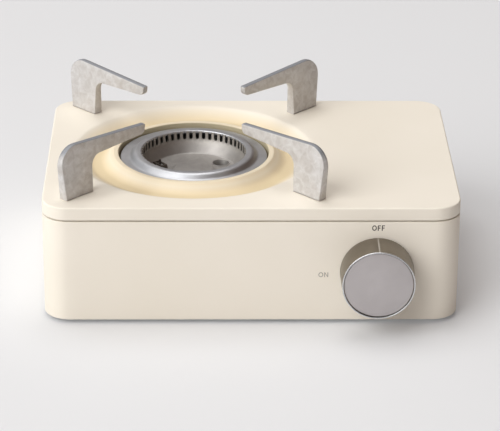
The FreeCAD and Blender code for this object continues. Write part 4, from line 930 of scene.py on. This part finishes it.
def burner_dish():
    """Bowl floor: raised middle, a drawn-down air hole and the spark gap's hole."""
    middle = DISH_FLOOR + DISH_MIDDLE_RISE
    section = sheet([
        (0, middle, 0), (DISH_MIDDLE_RADIUS, middle, 1.6), (DISH_MIDDLE_RADIUS + 2.5, DISH_FLOOR, 1.6),
        (DISH_RADIUS - 0.7, DISH_FLOOR, 0.6), (DISH_RADIUS, DISH_FLOOR + 0.6, 0)], SHEET, steps=8)
    work = lathe([(max(p.x, 0.0), p.y) for p in section], BURNER, steps=128)
    piece = finish_mesh(work, "bowl_floor", "stainless_steel", replaced=["burner_dish"], weld=1e-3)
    air = BURNER + AIR_HOLE
    spark = BURNER + SPARK_HOLE
    low = Vector((0, 0, DISH_FLOOR - 4))
    high = Vector((0, 0, DISH_FLOOR + 4))
    cut(piece, [rod_cutter(AIR_HOLE_RADIUS, air + low, air + high),
                rod_cutter(SPARK_HOLE_RADIUS, spark + low, spark + high)])
    piece.data.set_sharp_from_angle(angle=math.radians(40))
    under = DISH_FLOOR - EYELET_DROP
    eyelet = rounded([
        (AIR_HOLE_RADIUS + 0.5, DISH_FLOOR + 0.05, 0.1), (AIR_HOLE_RADIUS + 0.5, DISH_FLOOR + 0.4, 0.2),
        (AIR_HOLE_RADIUS - 0.3, DISH_FLOOR + 0.4, 0.3), (AIR_HOLE_RADIUS - 1.2, under, 0.1),
        (AIR_HOLE_RADIUS - 0.6, under, 0.1), (AIR_HOLE_RADIUS - 0.05, DISH_FLOOR + 0.05, 0.1)], steps=5)
    finish_mesh(lathe(eyelet, air, steps=64), "air_hole_eyelet", "stainless_steel")


def knob():
    """Turned barrel with a bright rim, a dark groove and a slightly domed matt face."""
    rim_inner = KNOB_FRONT_RADIUS - KNOB_RIM
    face_radius = rim_inner - KNOB_GROOVE
    rim_back = KNOB_FRONT + KNOB_RIM_DEPTH
    groove = KNOB_FRONT + KNOB_GROOVE_DEPTH
    pocket = KNOB_FRONT + KNOB_POCKET_DEPTH
    web = KNOB_FRONT + KNOB_WEB_BACK
    boss = KNOB_FRONT + KNOB_BOSS_BACK
    barrel = rounded([
        (KNOB_RADIUS, KNOB_BACK, 0.4), (KNOB_FRONT_RADIUS, rim_back, 0), (rim_inner, rim_back, 0),
        (rim_inner, groove, 0), (KNOB_RADIUS - KNOB_POCKET_INSET, pocket, 0), (KNOB_BORE_RADIUS, pocket, 0),
        (KNOB_BORE_RADIUS, boss, 0.2), (KNOB_BOSS_RADIUS, boss, 0.3), (KNOB_BOSS_RADIUS, web, 0.5),
        (KNOB_RADIUS - KNOB_WALL, web, 0.5), (KNOB_RADIUS - KNOB_WALL, KNOB_BACK, 0.3),
    ], steps=6)
    rim = rounded([
        (KNOB_FRONT_RADIUS, rim_back, 0), (KNOB_FRONT_RADIUS, KNOB_FRONT, 0.35), (rim_inner, KNOB_FRONT, 0.2),
        (rim_inner, rim_back, 0),
    ], steps=6)
    face_front = KNOB_FRONT + KNOB_FACE_DEPTH
    face_back = KNOB_FRONT + KNOB_FACE_BACK
    face = rounded([
        (0, face_front, 0), (face_radius * 0.5, face_front + KNOB_CROWN * 0.25, 20.0),
        (face_radius, face_front + KNOB_CROWN, 0.2), (face_radius, face_back, 0.1), (0, face_back, 0),
    ], steps=5)
    finish_mesh(lathe(barrel, KNOB_AXIS, "y"), "turned_knob_barrel", "satin_silver", body=KNOB,
                replaced=["knob_barrel"], material=BARREL_FINISH)
    finish_mesh(lathe(rim, KNOB_AXIS, "y"), "knob_bright_rim", "satin_silver", body=KNOB, material=RIM_FINISH)
    finish_mesh(lathe(face, KNOB_AXIS, "y"), "knob_face_disc", "satin_silver", body=KNOB,
                replaced=["knob_face"])


def marker_line():
    """Pale line let into the barrel at the top, over its front part."""
    half_angle = MARKER_WIDTH / 2 / KNOB_RADIUS
    across = 8
    slope = (KNOB_RADIUS - KNOB_FRONT_RADIUS) / (KNOB_BACK - KNOB_FRONT)
    work = bmesh.new()
    rows = []
    for depth in (-MARKER_SUNK, MARKER_PROUD):
        for along in (MARKER_START, MARKER_END):
            reach = KNOB_FRONT_RADIUS + slope * along + depth
            row = []
            for i in range(across + 1):
                angle = math.pi / 2 + half_angle * (1 - 2 * i / across)
                row.append(work.verts.new((KNOB_AXIS.x + reach * math.cos(angle), KNOB_FRONT + along,
                                           KNOB_AXIS.z + reach * math.sin(angle))))
            rows.append(row)
    low_front, low_back, high_front, high_back = rows
    turns = [high_front, high_back, low_back, low_front, high_front]
    for one, two in zip(turns, turns[1:]):
        for i in range(across):
            work.faces.new((one[i], one[i + 1], two[i + 1], two[i]))
    for i in (0, -1):
        work.faces.new((low_front[i], low_back[i], high_back[i], high_front[i]))
    finish_mesh(work, "knob_marker_line", "marker_white", body=KNOB, replaced=["knob_marker"])


def letter_outlines(letter, width, height, stroke):
    """Outlines of a plain thin capital: one, or an outer and an inner one."""
    right = width - stroke
    if letter == "F":
        low = (height - stroke) / 2
        middle_bar = width * 0.86
        return [[
            (0, 0), (stroke, 0), (stroke, low), (middle_bar, low), (middle_bar, low + stroke),
            (stroke, low + stroke), (stroke, height - stroke), (width, height - stroke), (width, height),
            (0, height)]]
    if letter == "N":
        lean = stroke * 1.55
        return [[
            (0, 0), (stroke, 0), (stroke, height - lean), (right, 0), (width, 0), (width, height),
            (right, height), (right, lean), (stroke, height), (0, height)]]
    turns = [2 * math.pi * i / 40 for i in range(40)]
    return [[(width / 2 + (width / 2 - inset) * math.cos(a), height / 2 + (height / 2 - inset) * math.sin(a))
             for a in turns] for inset in (0, stroke)]


def word(name, text, ink, widths, gap, low, height, stroke):
    """A word printed on the front wall, from its lower left corner (x, z)."""
    work = bmesh.new()
    x = low[0]
    for letter, width in zip(text, widths):
        rings = letter_outlines(letter, width, height, stroke)
        layers = [[[work.verts.new((x + u, depth, low[1] + v)) for u, v in ring] for ring in rings]
                  for depth in (FRONT - INK_THICKNESS, FRONT + INK_SUNK)]
        for layer in layers:
            if len(layer) == 1:
                cap(work, layer[0])
            else:
                band(work, *layer)
        for near, far in zip(*layers):
            band(work, near, far)
        x += width + gap
    finish_mesh(work, name, "igniter_plastic", 30, material=ink)


def rubber_feet():
    """Moulded feet: a round pad with a rolled edge and a dimple under it."""
    for corner in ("front_left", "front_right", "back_left", "back_right"):
        node = "rubber_foot_" + corner
        low, high = node_box(node)
        middle = (low + high) / 2
        middle.z = 0
        section = rounded([
            (0, DIMPLE_RISE, 0), (DIMPLE_RADIUS, DIMPLE_RISE, 0.4), (DIMPLE_RADIUS + DIMPLE_RISE, 0, 0.5),
            (FOOT_RADIUS, 0, 0.9), (FOOT_RADIUS, FOOT_HEIGHT, 0.4), (STUD_RADIUS, FOOT_HEIGHT, 0.3),
            (STUD_RADIUS, high.z, 0.6), (0, high.z, 0)], steps=6)
        work = lathe(section, middle, steps=64)
        finish_mesh(work, "moulded_foot_" + corner, "black_rubber", replaced=[node])


def solid_boxes(node):
    """Lowest and highest corners, in millimetres, of the separate solids of a CAD node."""
    work = bmesh.new()
    work.from_mesh(frame["nodes"][node].data)
    bmesh.ops.remove_doubles(work, verts=work.verts, dist=1e-6)
    left = set(work.verts)
    boxes = []
    while left:
        stack = [left.pop()]
        found = []
        while stack:
            vert = stack.pop()
            found.append(vert.co / MM)
            for edge in vert.link_edges:
                other = edge.other_vert(vert)
                if other in left:
                    left.remove(other)
                    stack.append(other)
        boxes.append((Vector([min(p[i] for p in found) for i in range(3)]),
                      Vector([max(p[i] for p in found) for i in range(3)])))
    work.free()
    return sorted(boxes, key=lambda box: (round(box[0].x, 2), round(box[0].y, 2)))


def slot_cutter(low, turn):
    """One bar of the cross recess in a screw's head."""
    work = bmesh.new()
    bmesh.ops.create_cube(work, size=1)
    work.transform(Matrix.Translation((0, 0, low)) @ Matrix.Rotation(math.radians(turn), 4, "Z")
                   @ Matrix.Diagonal((*SCREW_SLOT, 1)))
    return make_object(work, "slot_cutter")


def base_screws(tree):
    """Pan-head screws with a cross recess, heads down under the base."""
    boxes = solid_boxes("base_screws")
    low = min(box[0].z for box in boxes)
    tip = min(box[1].z for box in boxes)
    section = rounded([
        (0, low, 0), (SCREW_CROWN_RADIUS, low, 1.2), (SCREW_HEAD_RADIUS, low + SCREW_HEAD_HEIGHT, 0.3),
        (SCREW_RADIUS, low + SCREW_HEAD_HEIGHT, 0), (SCREW_RADIUS, tip - SCREW_TIP, 0),
        (SCREW_TIP_RADIUS, tip, 0), (0, tip, 0)], steps=5)
    screw = make_object(lathe(section, Vector((0, 0, 0)), steps=28), "screw_pattern", weld=1e-4)
    cut(screw, [slot_cutter(low, 0), slot_cutter(low, 90)])
    work = bmesh.new()
    for box in boxes:
        work.verts.new(((box[0].x + box[1].x) / 2, (box[0].y + box[1].y) / 2, 0))
    screws = make_object(work, "casing_screws")
    run_tree(screws, tree, {"Copy": screw, "Seed": SCREW_SEED, "Material": MATERIALS["plated_steel"]})
    discard(screw)
    dress(screws, "plated_steel", 35, replaced=["base_screws"])


def frame_finishes():
    """Gives each CAD node that still shows the finish of its slot, or, for the electrode and its bracket, the
    dark grey one that paints the shade at the spark gap.
    """
    for entry in frame["record"]["materials"]:
        for name in entry.get("nodes", []):
            mesh = frame["nodes"][name].data
            mesh.materials.clear()
            mesh.materials.append(MATERIALS[entry["slot"]])
    # Painted shade: the electrode and its bracket are drawn dark grey for the slot round the spark gap
    for name in ("electrode", "electrode_bracket"):
        frame["nodes"][name].data.materials[0] = SLOT_SHADE_FINISH


def matt_paper():
    """Seamless paper, matt and nearly white, lifted a little where it is seen straight or mirrored."""
    material, tree, shader = new_material("matt_paper", Roughness=0.9)
    cloud = add(tree, "ShaderNodeTexNoise", {
        "Vector": place(tree), "Scale": per_mm(300), "Detail": 2, "Roughness": 0.55})
    colour = layered(tree, linear("#E3E3E4"), (cloud, "#E5E5E6"))
    tree.links.new(result(colour), shader.inputs["Base Color"])
    glow = add(tree, "ShaderNodeEmission", {"Color": linear("#E9E9E9"), "Strength": 1.0})
    rays = add(tree, "ShaderNodeLightPath").outputs
    seen = rays["Is Camera Ray"]
    for ray in ("Is Glossy Ray", "Is Transmission Ray"):
        seen = add(tree, "ShaderNodeMath", {0: seen, 1: rays[ray]}, operation="MAXIMUM")
    share = add(tree, "ShaderNodeMath", {0: seen, 1: TABLE_LIFT}, operation="MULTIPLY")
    blend = add(tree, "ShaderNodeMixShader", {0: share, 1: shader, 2: glow})
    tree.links.new(result(blend), tree.nodes["Material Output"].inputs["Surface"])
    return material


def floor():
    """Pale seamless table."""
    work = bmesh.new()
    corners = ((-1, -1), (1, -1), (1, 1), (-1, 1))
    work.faces.new([work.verts.new((x * TABLE_REACH, y * TABLE_REACH, 0)) for x, y in corners])
    table = make_object(work, "table")
    table.data.materials.append(matt_paper())


def lamp(name, position, target, side, power):
    """A square soft box that faces a target."""
    light = bpy.data.lights.new(name, "AREA")
    light.shape = "SQUARE"
    light.size = side
    light.energy = power
    holder = bpy.data.objects.new(name, light)
    holder.location = position
    holder.rotation_euler = (Vector(target) - Vector(position)).to_track_quat("-Z", "Y").to_euler()
    bpy.context.scene.collection.objects.link(holder)


def room():
    """The room, which metal mirrors: white at the left, dark and warm at the right."""
    world = bpy.data.worlds.new("studio")
    bpy.context.scene.world = world
    world.use_nodes = True
    tree = world.node_tree
    direction = add(tree, "ShaderNodeTexCoord").outputs["Generated"]
    side = add(tree, "ShaderNodeVectorMath", {0: direction, 1: ROOM_LIGHT_SIDE}, operation="DOT_PRODUCT")
    turnover = {"Value": side, "From Min": ROOM_DARK_TO, "From Max": ROOM_BRIGHT_FROM}
    bright = add(tree, "ShaderNodeMapRange", turnover, interpolation_type="SMOOTHSTEP")
    colour = layered(tree, linear("#6C4E3C"), (bright, "#FFFFFF"))
    background = tree.nodes["Background"]
    tree.links.new(result(colour), background.inputs["Color"])
    background.inputs["Strength"].default_value = ROOM_STRENGTH


def camera():
    """The photograph's view: a long lens, a little above the front."""
    lens = bpy.data.cameras.new("camera")
    lens.sensor_width = CAMERA_SENSOR
    lens.lens = CAMERA_LENS
    lens.clip_end = 50
    holder = bpy.data.objects.new("camera", lens)
    yaw = Matrix.Rotation(-math.radians(CAMERA_YAW), 4, "Z")
    pitch = Matrix.Rotation(math.pi / 2 - math.radians(CAMERA_PITCH), 4, "X")
    roll = Matrix.Rotation(math.radians(CAMERA_ROLL), 4, "Z")
    holder.matrix_world = Matrix.Translation(CAMERA_PLACE * MM) @ yaw @ pitch @ roll
    bpy.context.scene.collection.objects.link(holder)
    bpy.context.scene.camera = holder


camera()
for lamp_name, sizes in LAMPS.items():
    lamp(lamp_name, *sizes)
room()
floor()
frame_finishes()
top_plate()
lower_casing()
for support, support_turn in SUPPORT_TURNS.items():
    pan_support(support, support_turn)
burner_head()
flame_ring(ring_tree())
burner_dish()
knob()
marker_line()
word("letters_off", "OFF", INK_DARK, **OFF_SIZES)
word("letters_on", "ON", INK_PALE, **ON_SIZES)
rubber_feet()
base_screws(scatter_tree())

bpy.context.scene.view_settings.view_transform = "Standard"
